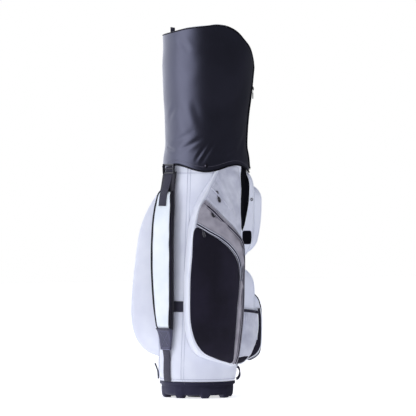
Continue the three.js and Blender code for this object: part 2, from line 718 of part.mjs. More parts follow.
// Point, normal and a downhill direction on a face that stands out along one axis.
function onFace(face, place, a, z, slope) {
  const d = 1;
  const at = place(a, face(a, z), z);
  const da = place(a + d, face(a + d, z), z).sub(at);
  const dz = place(a, face(a, z + d), z + d).sub(at);
  const normal = da.clone().cross(dz);
  if (normal.dot(place(0, 1, 0).sub(place(0, 0, 0))) < 0) normal.negate();
  const run = da.clone().multiplyScalar(slope).sub(dz);
  return [at, normal, run];
}

// Point on the hood's front line.
const hoodFront = (z) => hoodPoint(HOOD_FRONT, z, hoodRadius(z));

function addZips() {
  addZip('upper_panel_zip', ...onFace(sideFace, onMinusX, 29, 712, -0.1));
  addZip('satin_band_zip', ...onFace(sideFace, onMinusX, 66, 660, -0.3));
  addZip('black_panel_zip', ...onFace(sideFace, onMinusX, 103, 593, -0.15));
  addZip('apparel_zip', ...onFace(sideFace, onPlusX, 100, 560, -0.1));
  addZip('front_upper_zip', ...onFace(upperPocketSpec.face, onMinusY, 62, 690, 0));
  addZip('ball_zip', ...onFace(ballPocketSpec.face, onMinusY, -66, 310, 0));
  const hoodZip = hoodFront(1080);
  const outward = vec(Math.cos(HOOD_FRONT), Math.sin(HOOD_FRONT), 0);
  addZip('hood_zip', hoodZip, outward, hoodFront(1040).sub(hoodZip));
}

addBase();
addTube();
addCollar();
addPockets();
addHood();
addStrap();
addKeeperBand();
addBaseLoops();
addZips();

export default group;
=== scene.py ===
import json
import math

import bmesh
import bpy
import numpy as np
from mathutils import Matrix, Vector, noise


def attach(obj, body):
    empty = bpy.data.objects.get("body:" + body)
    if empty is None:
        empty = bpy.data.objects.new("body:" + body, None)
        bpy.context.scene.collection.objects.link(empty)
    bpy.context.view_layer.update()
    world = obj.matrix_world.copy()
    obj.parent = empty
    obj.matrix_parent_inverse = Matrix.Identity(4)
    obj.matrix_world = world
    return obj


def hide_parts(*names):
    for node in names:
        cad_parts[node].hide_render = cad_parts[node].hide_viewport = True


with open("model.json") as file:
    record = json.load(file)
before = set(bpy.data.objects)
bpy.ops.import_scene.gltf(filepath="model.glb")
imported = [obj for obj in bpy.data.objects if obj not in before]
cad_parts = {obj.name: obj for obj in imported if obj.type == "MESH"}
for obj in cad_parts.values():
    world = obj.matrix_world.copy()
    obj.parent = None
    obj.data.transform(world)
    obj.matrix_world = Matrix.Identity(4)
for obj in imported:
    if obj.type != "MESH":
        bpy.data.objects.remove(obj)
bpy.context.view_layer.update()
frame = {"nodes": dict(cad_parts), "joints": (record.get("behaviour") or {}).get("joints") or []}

MM = 0.001
TAU = 2 * math.pi

# ---- shape of the bag, as in the frame ------------------------------------------------------
RIM_TOP = 57
BODY_TOP = 828
BODY_LEAN = 36
TUBE_RADIUS = 138                   # the tube's usual radius, for arcs along it
BODY_WALL = 3
HOOD_BOTTOM = 800
HOOD_SCALLOP = 12
HOOD_SHOULDER = 1150
HOOD_FRONT = math.radians(234)      # which way the hood's zip faces

# The photo's view: the camera stands off the -X side, turned towards the spine.
VIEW = Vector((-0.809, 0.588, 0))
VIEW_RIGHT = Vector((-0.588, -0.809, 0))


def smooth(knots):
    """Smooth function through (position, value) knots."""
    xs = [k[0] for k in knots]
    ys = [k[1] for k in knots]

    def slope(i):
        a, b = max(i - 1, 0), min(i + 1, len(xs) - 1)
        return (ys[b] - ys[a]) / (xs[b] - xs[a])

    def value(x):
        if x <= xs[0]:
            return ys[0]
        if x >= xs[-1]:
            return ys[-1]
        i = 0
        while xs[i + 1] < x:
            i += 1
        h = xs[i + 1] - xs[i]
        t = (x - xs[i]) / h
        rise = (3 - 2 * t) * t * t
        bend = slope(i) * h * t * (1 - t) ** 2 - slope(i + 1) * h * t * t * (1 - t)
        return ys[i] * (1 - rise) + ys[i + 1] * rise + bend

    return value


def step(a, b, x):
    t = min(max((x - a) / (b - a), 0), 1)
    return t * t * (3 - 2 * t)


def mix(a, b, t):
    return a + (b - a) * t


def soft_max(a, b, blend):
    """The larger of two values, rounded where they meet."""
    t = min(max(0.5 + 0.5 * (a - b) / blend, 0), 1)
    return mix(b, a, t) + blend * t * (1 - t)


body_radius = smooth([(RIM_TOP, 131), (95, 136), (300, 138), (815, 143), (900, 143)])


def body_centre(z):
    return -BODY_LEAN * min(max((z - RIM_TOP) / 760, 0), 1)


hood_radius = smooth([
    (780, 151), (815, 149.5), (840, 147.5), (874, 142), (917, 142.5),
    (981, 146.5), (1057, 153), (HOOD_SHOULDER, 159),
])
hood_centre = smooth([(780, -38), (874, -37), (981, -38), (1057, -42), (HOOD_SHOULDER, -46)])

side_crest = smooth([(100, 132), (163, 180), (263, 198), (480, 188), (594, 180), (698, 160), (800, 132)])
side_crest_line = smooth([(110, -50), (163, 20), (263, 45), (480, 38), (594, 26), (698, -9), (778, -50)])
SIDE_CROWN = 0.002
SIDE_CENTRE = (40, 400)
SIDE_OUTLINE = [
    (-55, 114), (-10, 121), (42, 134), (105, 158), (141, 200), (160, 262), (161, 368), (150, 480), (130, 594),
    (106, 654), (80, 696), (53, 732), (27, 770), (10, 802), (-12, 818), (-62, 819), (-86, 804), (-82, 772),
    (-80, 727), (-70, 672), (-68, 604), (-80, 500), (-80, 430), (-72, 330), (-60, 226), (-52, 163),
]

# Strap: middle of its inner face, its turn about the upright in degrees and its padded width, by height.
strap_x = smooth([(165, -12), (240, -11), (330, -6), (476, -3), (600, 1), (711, -1), (790, -11)])
strap_inner = smooth([(165, 139), (240, 138), (330, 142), (476, 144), (600, 138), (711, 126), (790, 121)])
strap_yaw = smooth([(165, 8), (240, 8), (330, 18), (600, 18), (711, 14), (790, 18)])
strap_width = smooth([
    (170, 52), (238, 69), (289, 73), (346, 80), (433, 85), (520, 85), (654, 80), (695, 69), (722, 56),
    (772, 50),
])
BACKING_THICK = 10
PAD_THICK = 13
STRAP_WEBBING = 38
TOP_WEBBING = 32

# Height of the hood's top along the line from its back to its front.
hood_top = smooth([
    (-160, 1266), (-130, 1274), (-75, 1289), (0, 1299), (27, 1302), (58, 1298), (85, 1286),
    (107, 1270), (129, 1245), (146, 1220), (155, 1190), (160, HOOD_SHOULDER),
])


# ---- curves and meshes ----------------------------------------------------------------------
def spline(knots, count, closed=False):
    """Even points along a smooth curve through the knots."""
    p = [Vector(k) for k in knots]
    n = len(p)
    fine = []
    spans = n if closed else n - 1
    for i in range(spans):
        if closed:
            q = [p[(i + j - 1) % n] for j in range(4)]
        else:
            q = [p[min(max(i + j - 1, 0), n - 1)] for j in range(4)]
            if i == 0:
                q[0] = q[1] * 2 - q[2]
            if i == n - 2:
                q[3] = q[2] * 2 - q[1]
        t = [0.0]
        for j in range(3):
            t.append(t[-1] + max((q[j + 1] - q[j]).length, 1e-6) ** 0.5)
        for s in range(16):
            x = mix(t[1], t[2], s / 16)
            a = [q[j] * ((t[j + 1] - x) / (t[j + 1] - t[j])) + q[j + 1] * ((x - t[j]) / (t[j + 1] - t[j]))
                 for j in range(3)]
            b = [a[j] * ((t[j + 2] - x) / (t[j + 2] - t[j])) + a[j + 1] * ((x - t[j]) / (t[j + 2] - t[j]))
                 for j in range(2)]
            fine.append(b[0] * ((t[2] - x) / (t[2] - t[1])) + b[1] * ((x - t[1]) / (t[2] - t[1])))
    fine.append(p[0] if closed else p[-1])
    run = [0.0]
    for a, b in zip(fine, fine[1:]):
        run.append(run[-1] + (b - a).length)
    steps = count if closed else count - 1
    out = []
    k = 0
    for i in range(count):
        want = run[-1] * i / steps
        while k < len(run) - 2 and run[k + 1] < want:
            k += 1
        t = (want - run[k]) / max(run[k + 1] - run[k], 1e-9)
        out.append(fine[k].lerp(fine[k + 1], min(max(t, 0), 1)))
    return out


def flat_spline(knots, count, closed=False):
    """Even points along a smooth curve through knots of two values."""
    return spline([(*k, 0) for k in knots], count, closed)


def runs(path):
    """The way the path goes at each of its points."""
    last = len(path) - 1
    return [path[min(i + 1, last)] - path[max(i - 1, 0)] for i in range(len(path))]


def add_object(name, data):
    made = bpy.data.objects.new(name, data)
    bpy.context.scene.collection.objects.link(made)
    return made


def make(name, verts, faces, material, body, replaces=(), slot=None, smooth_shade=True):
    """A piece from millimetre points, riding on a body. material is one, or a list indexed by face."""
    mesh = bpy.data.meshes.new(name)
    mesh.from_pydata([tuple(float(c) * MM for c in v) for v in verts], [], [tuple(f) for f in faces])
    piece = add_object(name, mesh)
    for m in material if isinstance(material, list) else [material]:
        mesh.materials.append(m)
    mesh.validate()
    shape = bmesh.new()
    shape.from_mesh(mesh)
    bmesh.ops.recalc_face_normals(shape, faces=shape.faces)
    shape.to_mesh(mesh)
    shape.free()
    for polygon in mesh.polygons:
        polygon.use_smooth = smooth_shade
    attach(piece, body)
    if replaces:
        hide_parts(*replaces)
    return piece


def grid_faces(rows, cols, wrap_rows=False, wrap_cols=False, start=0):
    faces = []
    for j in range(rows if wrap_rows else rows - 1):
        for i in range(cols if wrap_cols else cols - 1):
            k = (i + 1) % cols
            here = start + j * cols
            above = start + (j + 1) % rows * cols
            faces.append((here + i, here + k, above + k, above + i))
    return faces


def grid_normals(p, wrap_cols=False):
    """Unit normals of a grid of points, pointing the way rows cross columns."""
    if wrap_cols:
        du = np.roll(p, -1, 1) - np.roll(p, 1, 1)
    else:
        du = np.gradient(p, axis=1)
    n = np.cross(du, np.gradient(p, axis=0))
    length = np.linalg.norm(n, axis=2, keepdims=True)
    return n / np.maximum(length, 1e-9)


def sheet_solid(name, points, thick, material, body, wrap_cols=False, flip=False, **facts):
    """Closed sheet of even thickness under a grid of points; the points are its outer face."""
    p = np.array(points, float)
    n = grid_normals(p, wrap_cols) * (-1 if flip else 1)
    inner = p - n * thick
    rows, cols = p.shape[:2]
    verts = np.concatenate([p.reshape(-1, 3), inner.reshape(-1, 3)])
    front = grid_faces(rows, cols, wrap_cols=wrap_cols)
    back = [tuple(reversed(f)) for f in grid_faces(rows, cols, wrap_cols=wrap_cols, start=rows * cols)]
    size = rows * cols
    edge = []
    span = cols if wrap_cols else cols - 1
    for i in range(span):
        k = (i + 1) % cols
        edge.append((i, i + size, k + size, k))
        top = (rows - 1) * cols
        edge.append((top + k, top + k + size, top + i + size, top + i))
    if not wrap_cols:
        for j in range(rows - 1):
            a, b = j * cols, (j + 1) * cols
            edge.append((b, b + size, a + size, a))
            a, b = a + cols - 1, b + cols - 1
            edge.append((a, a + size, b + size, b))
    faces = front + back + edge
    if flip:
        faces = [tuple(reversed(f)) for f in faces]
    return make(name, verts, faces, material, body, **facts)


def disc_solid(name, rings, thick, material, body, flip=False, **facts):
    """Closed sheet from rings round a middle point, outer edge first; a fan shuts the last ring."""
    p = np.array(rings, float)
    rows, cols = p.shape[:2]
    n = grid_normals(p, wrap_cols=True) * (-1 if flip else 1)
    inner = p - n * thick
    size = rows * cols
    verts = list(p.reshape(-1, 3)) + list(inner.reshape(-1, 3)) + [p[-1].mean(0), inner[-1].mean(0)]
    faces = grid_faces(rows, cols, wrap_cols=True)
    faces += [tuple(reversed(f)) for f in grid_faces(rows, cols, wrap_cols=True, start=size)]
    last = (rows - 1) * cols
    for i in range(cols):
        k = (i + 1) % cols
        faces.append((last + i, last + k, 2 * size))
        faces.append((last + k + size, last + i + size, 2 * size + 1))
        faces.append((i, i + size, k + size, k))
    if flip:
        faces = [tuple(reversed(f)) for f in faces]
    return make(name, verts, faces, material, body, **facts)


def sweep(sections, closed):
    """Vertices and faces of a solid through sections of equal point counts."""
    count = len(sections[0])
    verts = [p for s in sections for p in s]
    faces = grid_faces(len(sections), count, wrap_rows=closed, wrap_cols=True)
    if not closed:
        faces.append(tuple(reversed(range(count))))
        faces.append(tuple(range(len(verts) - count, len(verts))))
    return verts, faces


def tube_sections(path, radius, closed, sides=8):
    """Round sections along a path, turned as little as possible."""
    n = len(path)
    tangents = []
    for i in range(n):
        if closed:
            t = path[(i + 1) % n] - path[i - 1]
        else:
            t = path[min(i + 1, n - 1)] - path[max(i - 1, 0)]
        tangents.append(t.normalized())
    side = tangents[0].orthogonal().normalized()
    turns = [(radius * math.cos(TAU * k / sides), radius * math.sin(TAU * k / sides)) for k in range(sides)]
    sections = []
    for p, t in zip(path, tangents):
        side = (side - t * side.dot(t)).normalized()
        up = t.cross(side)
        sections.append([p + (side * a + up * b) for a, b in turns])
    return sections


def tube(name, path, radius, material, body, closed=False, sides=8, **facts):
    verts, faces = sweep(tube_sections(path, radius, closed, sides), closed)
    return make(name, verts, faces, material, body, **facts)


def rounded_section(width, thick, corner, steps=3):
    """Rounded rectangle round (0, 0), as (across, out) pairs."""
    points = []
    corner = min(corner, thick / 2 - 0.01, width / 2 - 0.01)
    for q, (sx, sy) in enumerate([(1, 1), (-1, 1), (-1, -1), (1, -1)]):
        for s in range(steps + 1):
            a = (q + s / steps) * math.pi / 2
            points.append((
                sx * (width / 2 - corner) + corner * math.cos(a),
                sy * (thick / 2 - corner) + corner * math.sin(a),
            ))
    return points


def band_sections(path, across, out, width, thick, corner=0.6, ribs=0.0):
    """Sections of a flat band; across and out are one direction each, or a list along the path."""
    sections = []
    section = rounded_section(width, thick, corner)
    for i, p in enumerate(path):
        a = across[i] if isinstance(across, list) else across
        o = out[i] if isinstance(out, list) else out
        grow = 1 + ribs * (i % 2) / thick
        sections.append([p + a * x + o * (y * grow + thick / 2) for x, y in section])
    return sections


def band(name, path, across, out, width, thick, material, body, corner=0.6, ribs=0.0, **facts):
    verts, faces = sweep(band_sections(path, across, out, width, thick, corner, ribs), False)
    return make(name, verts, faces, material, body, **facts)


def ripple(p, size, depth, seed=0.0):
    """Soft uneven relief in millimetres at a point in millimetres."""
    return depth * noise.noise(Vector((p[0] / size + seed, p[1] / size - seed, p[2] / size + 2 * seed)))


def around(z, angle, lift=0.0):
    """Point on the tube at a height and an angle from +X."""
    r = body_radius(z) + lift
    return Vector((r * math.cos(angle), body_centre(z) + r * math.sin(angle), z))


def levels(low, high, count):
    return [mix(low, high, i / (count - 1)) for i in range(count)]


def join(name, parts):
    """Joins finished pieces of one body into one piece."""
    first = parts[0]
    for o in bpy.context.selected_objects:
        o.select_set(False)
    for o in parts:
        o.select_set(True)
    bpy.context.view_layer.objects.active = first
    bpy.ops.object.join()
    first.name = name
    first.data.name = name
    return first


# ---- materials ------------------------------------------------------------------------------
def srgb(hex_colour):
    c = [int(hex_colour[i:i + 2], 16) / 255 for i in (0, 2, 4)]
    return [x / 12.92 if x <= 0.04045 else ((x + 0.055) / 1.055) ** 2.4 for x in c] + [1]


def new_material(name, colour, roughness, metallic=0.0, sheen=0.0, specular=0.5):
    m = bpy.data.materials.new(name)
    m.use_nodes = True
    shader = m.node_tree.nodes["Principled BSDF"]
    shader.inputs["Base Color"].default_value = srgb(colour)
    shader.inputs["Roughness"].default_value = roughness
    shader.inputs["Metallic"].default_value = metallic
    shader.inputs["Sheen Weight"].default_value = sheen
    shader.inputs["Sheen Roughness"].default_value = 0.5
    shader.inputs["Specular IOR Level"].default_value = specular
    return m, m.node_tree.nodes, m.node_tree.links, shader


def place(nodes, links, scale=(1, 1, 1)):
    """Coordinates fixed to the piece, scaled."""
    where = nodes.new("ShaderNodeTexCoord")
    mapping = nodes.new("ShaderNodeMapping")
    mapping.inputs["Scale"].default_value = scale
    links.new(where.outputs["Object"], mapping.inputs["Vector"])
    return mapping.outputs["Vector"]


def noise_field(nodes, links, scale, detail=3.0, stretch=(1, 1, 1)):
    field = nodes.new("ShaderNodeTexNoise")
    field.inputs["Scale"].default_value = scale
    field.inputs["Detail"].default_value = detail
    links.new(place(nodes, links, stretch), field.inputs["Vector"])
    return field.outputs["Fac"]


def waves(nodes, links, axis, pitch):
    """Fine ribs across one axis, `pitch` metres apart."""
    wave = nodes.new("ShaderNodeTexWave")
    wave.bands_direction = axis
    wave.inputs["Scale"].default_value = TAU / (20 * pitch)
    wave.inputs["Distortion"].default_value = 0.6
    wave.inputs["Detail"].default_value = 1.0
    links.new(place(nodes, links), wave.inputs["Vector"])
    return wave.outputs["Fac"]


def calc(nodes, links, operation, a, b):
    node = nodes.new("ShaderNodeMath")
    node.operation = operation
    for socket, value in zip(node.inputs, (a, b)):
        if isinstance(value, (int, float)):
            socket.default_value = value
        else:
            links.new(value, socket)
    return node.outputs[0]


def tint(nodes, links, shader, field, low, high, start=0.35, end=0.65):
    """Base colour that runs from low to high with a field."""
    ramp = nodes.new("ShaderNodeValToRGB")
    ramp.color_ramp.elements[0].position = start
    ramp.color_ramp.elements[1].position = end
    ramp.color_ramp.elements[0].color = srgb(low)
    ramp.color_ramp.elements[1].color = srgb(high)
    links.new(field, ramp.inputs["Fac"])
    links.new(ramp.outputs["Color"], shader.inputs["Base Color"])


def bump(nodes, links, shader, field, distance, strength=1.0):
    node = nodes.new("ShaderNodeBump")
    node.inputs["Distance"].default_value = distance
    node.inputs["Strength"].default_value = strength
    links.new(field, node.inputs["Height"])
    links.new(node.outputs["Normal"], shader.inputs["Normal"])


def rough(nodes, links, shader, field, low, high):
    spread = nodes.new("ShaderNodeMapRange")
    spread.inputs["To Min"].default_value = low
    spread.inputs["To Max"].default_value = high
    links.new(field, spread.inputs["Value"])
    links.new(spread.outputs["Result"], shader.inputs["Roughness"])


def woven(name, low, high, pitch=0.0009, relief=0.00012, roughness=(0.5, 0.65), sheen=0.15,
          specular=0.4, drift_scale=9):
    """Coated woven cloth: crossed threads, slow colour drift and a soft sheen."""
    m, nodes, links, shader = new_material(name, low, roughness[0], sheen=sheen, specular=specular)
    weave = calc(nodes, links, "ADD", waves(nodes, links, "X", pitch), waves(nodes, links, "Z", pitch))
    weave = calc(nodes, links, "ADD", weave, waves(nodes, links, "Y", pitch))
    drift = noise_field(nodes, links, drift_scale, 4)
    fuzz = calc(nodes, links, "MULTIPLY", noise_field(nodes, links, 900, 2), 1.2)
    height = calc(nodes, links, "ADD", weave, fuzz)
    tint(nodes, links, shader, drift, low, high)
    rough(nodes, links, shader, noise_field(nodes, links, 40, 3), *roughness)
    bump(nodes, links, shader, height, relief, 0.5)
    return m


def grained(name, low, high, grain=700, relief=0.00015, roughness=(0.35, 0.5), specular=0.5, shine=None):
    """Fine pebbled coating or moulded plastic."""
    m, nodes, links, shader = new_material(name, low, roughness[0], specular=specular)
    if shine:
        shader.inputs["Specular Tint"].default_value = srgb(shine)
    cells = nodes.new("ShaderNodeTexVoronoi")
    cells.inputs["Scale"].default_value = grain
    links.new(place(nodes, links), cells.inputs["Vector"])
    height = calc(nodes, links, "ADD", cells.outputs["Distance"], noise_field(nodes, links, grain / 3, 3))
    tint(nodes, links, shader, noise_field(nodes, links, 7, 4), low, high)
    rough(nodes, links, shader, noise_field(nodes, links, 25, 4), *roughness)
    bump(nodes, links, shader, height, relief, 0.4)
    return m


def ribbed(name, low, high, axis="Z", pitch=0.0022):
    """Webbing: ribs across the band and a fine cross thread."""
    m, nodes, links, shader = new_material(name, low, 0.75, sheen=0.2)
    ribs = waves(nodes, links, axis, pitch)
    threads = calc(nodes, links, "MULTIPLY", waves(nodes, links, "X", 0.0011), 0.5)
    height = calc(nodes, links, "ADD", ribs, threads)
    tint(nodes, links, shader, ribs, low, high, 0.2, 0.9)
    rough(nodes, links, shader, noise_field(nodes, links, 60, 3), 0.65, 0.85)
    bump(nodes, links, shader, height, 0.0004, 0.6)
    return m


def netting(name, low, high, pitch=0.0032):
    """Spacer mesh: rows of small holes."""
    m, nodes, links, shader = new_material(name, low, 0.8, sheen=0.2)
    cells = nodes.new("ShaderNodeTexVoronoi")
    cells.inputs["Scale"].default_value = 1 / pitch
    cells.inputs["Randomness"].default_value = 0.15
    links.new(place(nodes, links), cells.inputs["Vector"])
    tint(nodes, links, shader, cells.outputs["Distance"], low, high, 0.15, 0.5)
    rough(nodes, links, shader, noise_field(nodes, links, 60, 3), 0.7, 0.9)
    bump(nodes, links, shader, cells.outputs["Distance"], 0.0008, 0.8)
    return m


def metal(name, low, high, roughness=(0.22, 0.4)):
    m, nodes, links, shader = new_material(name, low, roughness[0], metallic=1.0)
    tint(nodes, links, shader, noise_field(nodes, links, 160, 4), low, high)
    rough(nodes, links, shader, noise_field(nodes, links, 220, 3), *roughness)
    bump(nodes, links, shader, noise_field(nodes, links, 1500, 2), 0.00003, 0.3)
    return m


WHITE = woven("white_cloth", "dbdeec", "e6e9f4", roughness=(0.42, 0.55))
GREY = woven("light_grey_cloth", "b6b8c8", "d3d5e1", roughness=(0.38, 0.52), drift_scale=20)
SATIN = woven("grey_satin_cloth", "918d98", "aaa6b0", pitch=0.0006, relief=0.00006,
              roughness=(0.3, 0.42), sheen=0.3, drift_scale=26)
BLACK = woven("black_cloth", "191624", "221e30", roughness=(0.6, 0.75), sheen=0.05, specular=0.2)
HOOD = grained("hood_coated_cloth", "131219", "1a1922", grain=900, relief=0.00008, roughness=(0.31, 0.38),
               specular=1.0, shine="dcdfff")
PIPE_DARK = grained("dark_piping", "0b0a12", "14131d", grain=500, roughness=(0.5, 0.6), specular=0.2)
PIPE_WHITE = woven("white_piping", "e6eaf5", "f4f6fc", roughness=(0.35, 0.5))
STRAP = woven("strap_cloth", "e2eaf2", "f0f6fa", roughness=(0.5, 0.65))
MESH = netting("spacer_mesh", "0c0b12", "26242f")
WEBBING = ribbed("black_webbing", "141124", "26233a")
PATCH = woven("strap_patch_cloth", "34344a", "44445a", pitch=0.0012, relief=0.0002)
PLASTIC = grained("moulded_plastic", "23212f", "2f2d3c", grain=420, relief=0.0002, roughness=(0.5, 0.65),
                  specular=0.25, shine="c6c8ff")
GLOSS = grained("buckle_plastic", "121118", "1d1b25", grain=300, relief=0.00005, roughness=(0.2, 0.35))
LINING = woven("dark_lining", "07060c", "0e0d16", roughness=(0.75, 0.9), sheen=0.0, specular=0.1)
METAL = metal("bright_metal", "5d5b60", "a3a1a6")
METAL_DARK = metal("dark_metal", "34323a", "55525c")
STEEL = metal("rod_metal", "8f9197", "b2b4b9")
THREAD = woven("white_thread", "d5d9e6", "e6e9f2", pitch=0.0004, relief=0.00005)
THREAD_DARK = woven("dark_thread", "6c6c8a", "7e7e9c", pitch=0.0004, relief=0.00005)
# Dark seam thread; where it lines the -X side pocket's piping it also paints the groove shade there.
SEAM_DARK = woven("dark_seam", "4a4858", "5c5a6b", pitch=0.0006, relief=0.00005)
# Grey stitching thread; its grey also paints the shade in the grooves beside seams and piping.
GREY_THREAD_AND_SEAM_SHADE = woven("grey_thread_and_seam_shade", "9296ae", "a2a6bd", pitch=0.0004, relief=0.00005)
RUBBER = grained("rubber", "101016", "1a1a22", grain=350, roughness=(0.6, 0.75))

CAD_LOOKS = {
    "base_center_pad": RUBBER,
    "bottom_liner": LINING,
    "spine_board": PLASTIC,
    "full_length_divider": LINING,
    "divider_grid": PLASTIC,
    "top_collar": PLASTIC,
    "collar_handle_front": PLASTIC,
    "collar_handle_rear": PLASTIC,
    **{f"stay_rod_{number}": STEEL for number in range(1, 5)},
}


def dress_cad():
    for name, material in CAD_LOOKS.items():
        for holder in frame["nodes"][name].material_slots:
            holder.material = material


# ---- camera, light and floor ----------------------------------------------------------------
WINDOW_TURN = math.radians(20)      # how far behind the bag's left the soft window stands
SKY = 0.52                          # strength of the even light from all round
WINDOW_EDGE = (0.2, 0.34)           # where the mirrored window starts and is full, as a cosine
WINDOW_GLOW = (0.11, 2.0)           # strength of what is mirrored outside and inside the window
CAMERA_AWAY = 11.0
CAMERA_HEIGHT = 0.66
CAMERA_ASIDE = 0.037
SENSOR = 36
SEEN_HEIGHT = 1.456                 # height of the picture at the bag, in metres
FLOOR_HALF = 14
FLOOR_GLOW = 0.62


def set_camera():
    data = bpy.data.cameras.new("camera")
    data.sensor_width = SENSOR
    data.lens = SENSOR * CAMERA_AWAY / SEEN_HEIGHT
    data.clip_end = 60
    camera = add_object("camera", data)
    bpy.context.scene.camera = camera
    camera.location = VIEW * CAMERA_AWAY + VIEW_RIGHT * CAMERA_ASIDE + Vector((0, 0, CAMERA_HEIGHT))
    camera.rotation_euler = (-VIEW).to_track_quat("-Z", "Y").to_euler()


def set_world():
    """Even light, a white backdrop for the camera, and a soft window that only reflections show."""
    world = bpy.data.worlds.new("studio")
    bpy.context.scene.world = world
    world.use_nodes = True
    nodes, links = world.node_tree.nodes, world.node_tree.links
    soft_light = nodes["Background"]
    soft_light.inputs["Color"].default_value = (0.86, 0.89, 1, 1)
    seen = nodes.new("ShaderNodeLightPath")
    direction = nodes.new("ShaderNodeTexCoord")
    window = nodes.new("ShaderNodeVectorMath")
    window.operation = "DOT_PRODUCT"
    window.inputs[1].default_value = -VIEW_RIGHT * math.cos(WINDOW_TURN) - VIEW * math.sin(WINDOW_TURN)
    links.new(direction.outputs["Generated"], window.inputs[0])
    spread = nodes.new("ShaderNodeMapRange")
    spread.interpolation_type = "SMOOTHSTEP"
    for socket, value in zip(("From Min", "From Max", "To Min", "To Max"), WINDOW_EDGE + WINDOW_GLOW):
        spread.inputs[socket].default_value = value
    links.new(window.outputs["Value"], spread.inputs["Value"])
    strength = nodes.new("ShaderNodeMix")
    strength.inputs["A"].default_value = SKY
    links.new(seen.outputs["Is Glossy Ray"], strength.inputs["Factor"])
    links.new(spread.outputs["Result"], strength.inputs["B"])
    links.new(strength.outputs["Result"], soft_light.inputs["Strength"])
    backdrop = nodes.new("ShaderNodeBackground")
    backdrop.inputs["Color"].default_value = (1, 1, 1, 1)
    either = nodes.new("ShaderNodeMixShader")
    links.new(seen.outputs["Is Camera Ray"], either.inputs["Fac"])
    links.new(soft_light.outputs["Background"], either.inputs[1])
    links.new(backdrop.outputs["Background"], either.inputs[2])
    links.new(either.outputs["Shader"], nodes["World Output"].inputs["Surface"])
    bpy.context.scene.view_settings.view_transform = "Standard"


def softbox(name, where, size, power, tall=1.0, mirrored=False):
    """Area light turned to the middle of the bag; reflections show it only when it is mirrored."""
    data = bpy.data.lights.new(name, "AREA")
    data.shape = "RECTANGLE"
    data.size = size
    data.size_y = size * tall
    data.energy = power
    lamp = add_object(name, data)
    lamp.location = where
    lamp.visible_glossy = mirrored
    lamp.rotation_euler = (Vector((0, 0, 0.7)) - where).to_track_quat("-Z", "Y").to_euler()


def set_stage():
    set_camera()
    set_world()
    left = -VIEW_RIGHT
    softbox("key", left * 2.4 + VIEW * 1.2 + Vector((0, 0, 1.2)), 1.7, 20, 1.5, mirrored=True)
    softbox("fill", VIEW * 2.2 - left * 2.8 + Vector((0, 0, 1.8)), 1.6, 3)
    softbox("top", Vector((0, 0, 3.4)) + VIEW * 0.6, 2.2, 8)
    corners = [(FLOOR_HALF * x, FLOOR_HALF * y, 0) for x, y in ((-1, -1), (1, -1), (1, 1), (-1, 1))]
    floor_data = bpy.data.meshes.new("floor")
    floor_data.from_pydata(corners, [], [(0, 1, 2, 3)])
    floor = add_object("floor", floor_data)
    floor.visible_glossy = False
    m, nodes, links, shader = new_material("pale_floor", "fbfbfd", 0.7)
    tint(nodes, links, shader, noise_field(nodes, links, 2, 2), "f9f9fc", "fdfdff")
    shader.inputs["Emission Color"].default_value = (1, 1, 1, 1)
    shader.inputs["Emission Strength"].default_value = FLOOR_GLOW
    floor_data.materials.append(m)


# ---- tube -----------------------------------------------------------------------------------
SEAM_ANGLE = math.radians(121)      # body seams, one on each side of the spine


def make_body():
    cols, rows = 220, 170
    hems = (RIM_TOP + 9, 781)
    outer = np.zeros((rows, cols, 3))
    for j in range(rows):
        z = mix(RIM_TOP + 0.8, BODY_TOP, j / (rows - 1))
        for i in range(cols):
            a = TAU * i / cols
            arc = min(abs(a - SEAM_ANGLE), abs(a - (math.pi - SEAM_ANGLE))) * TUBE_RADIUS
            groove = 1.8 * math.exp(-(arc / 1.8) ** 2) - 0.9 * math.exp(-((arc - 5) / 3) ** 2)
            hem = sum(0.9 * math.exp(-((z - h) / 2.2) ** 2) for h in hems)
            tuck = 1.2 * math.exp(-((z - RIM_TOP) / 7) ** 2)
            p = around(z, a)
            soft = ripple(p, 90, 1.3, 3.1) + ripple(p, 34, 0.45, 8.2)
            soft += ripple((p.x, p.y, z * 0.25), 26, 0.7, 1.2)
            outer[j, i] = around(z, a, soft * step(RIM_TOP, 90, z) - groove - hem - tuck - 0.4)
    sheet_solid("body_tube", outer, BODY_WALL - 0.6, WHITE, "bag", wrap_cols=True,
                replaces=["body_shell"], slot="white_fabric")
    for number, angle in enumerate((SEAM_ANGLE, math.pi - SEAM_ANGLE)):
        for side in (-1, 1):
            path = [around(z, angle + side * 5.5 / TUBE_RADIUS, 1.0) for z in levels(RIM_TOP + 10, 800, 60)]
            tube(f"body_seam_stitch_{number}_{side}", path, 0.45, GREY_THREAD_AND_SEAM_SHADE, "bag", sides=6,
                 slot="white_fabric")
    for number, z in enumerate(hems):
        path = [around(z, TAU * i / 240, 0.1) for i in range(240)]
        tube(f"body_hem_stitch_{number}", path, 0.5, GREY_THREAD_AND_SEAM_SHADE, "bag", closed=True, sides=6,
             slot="white_fabric")


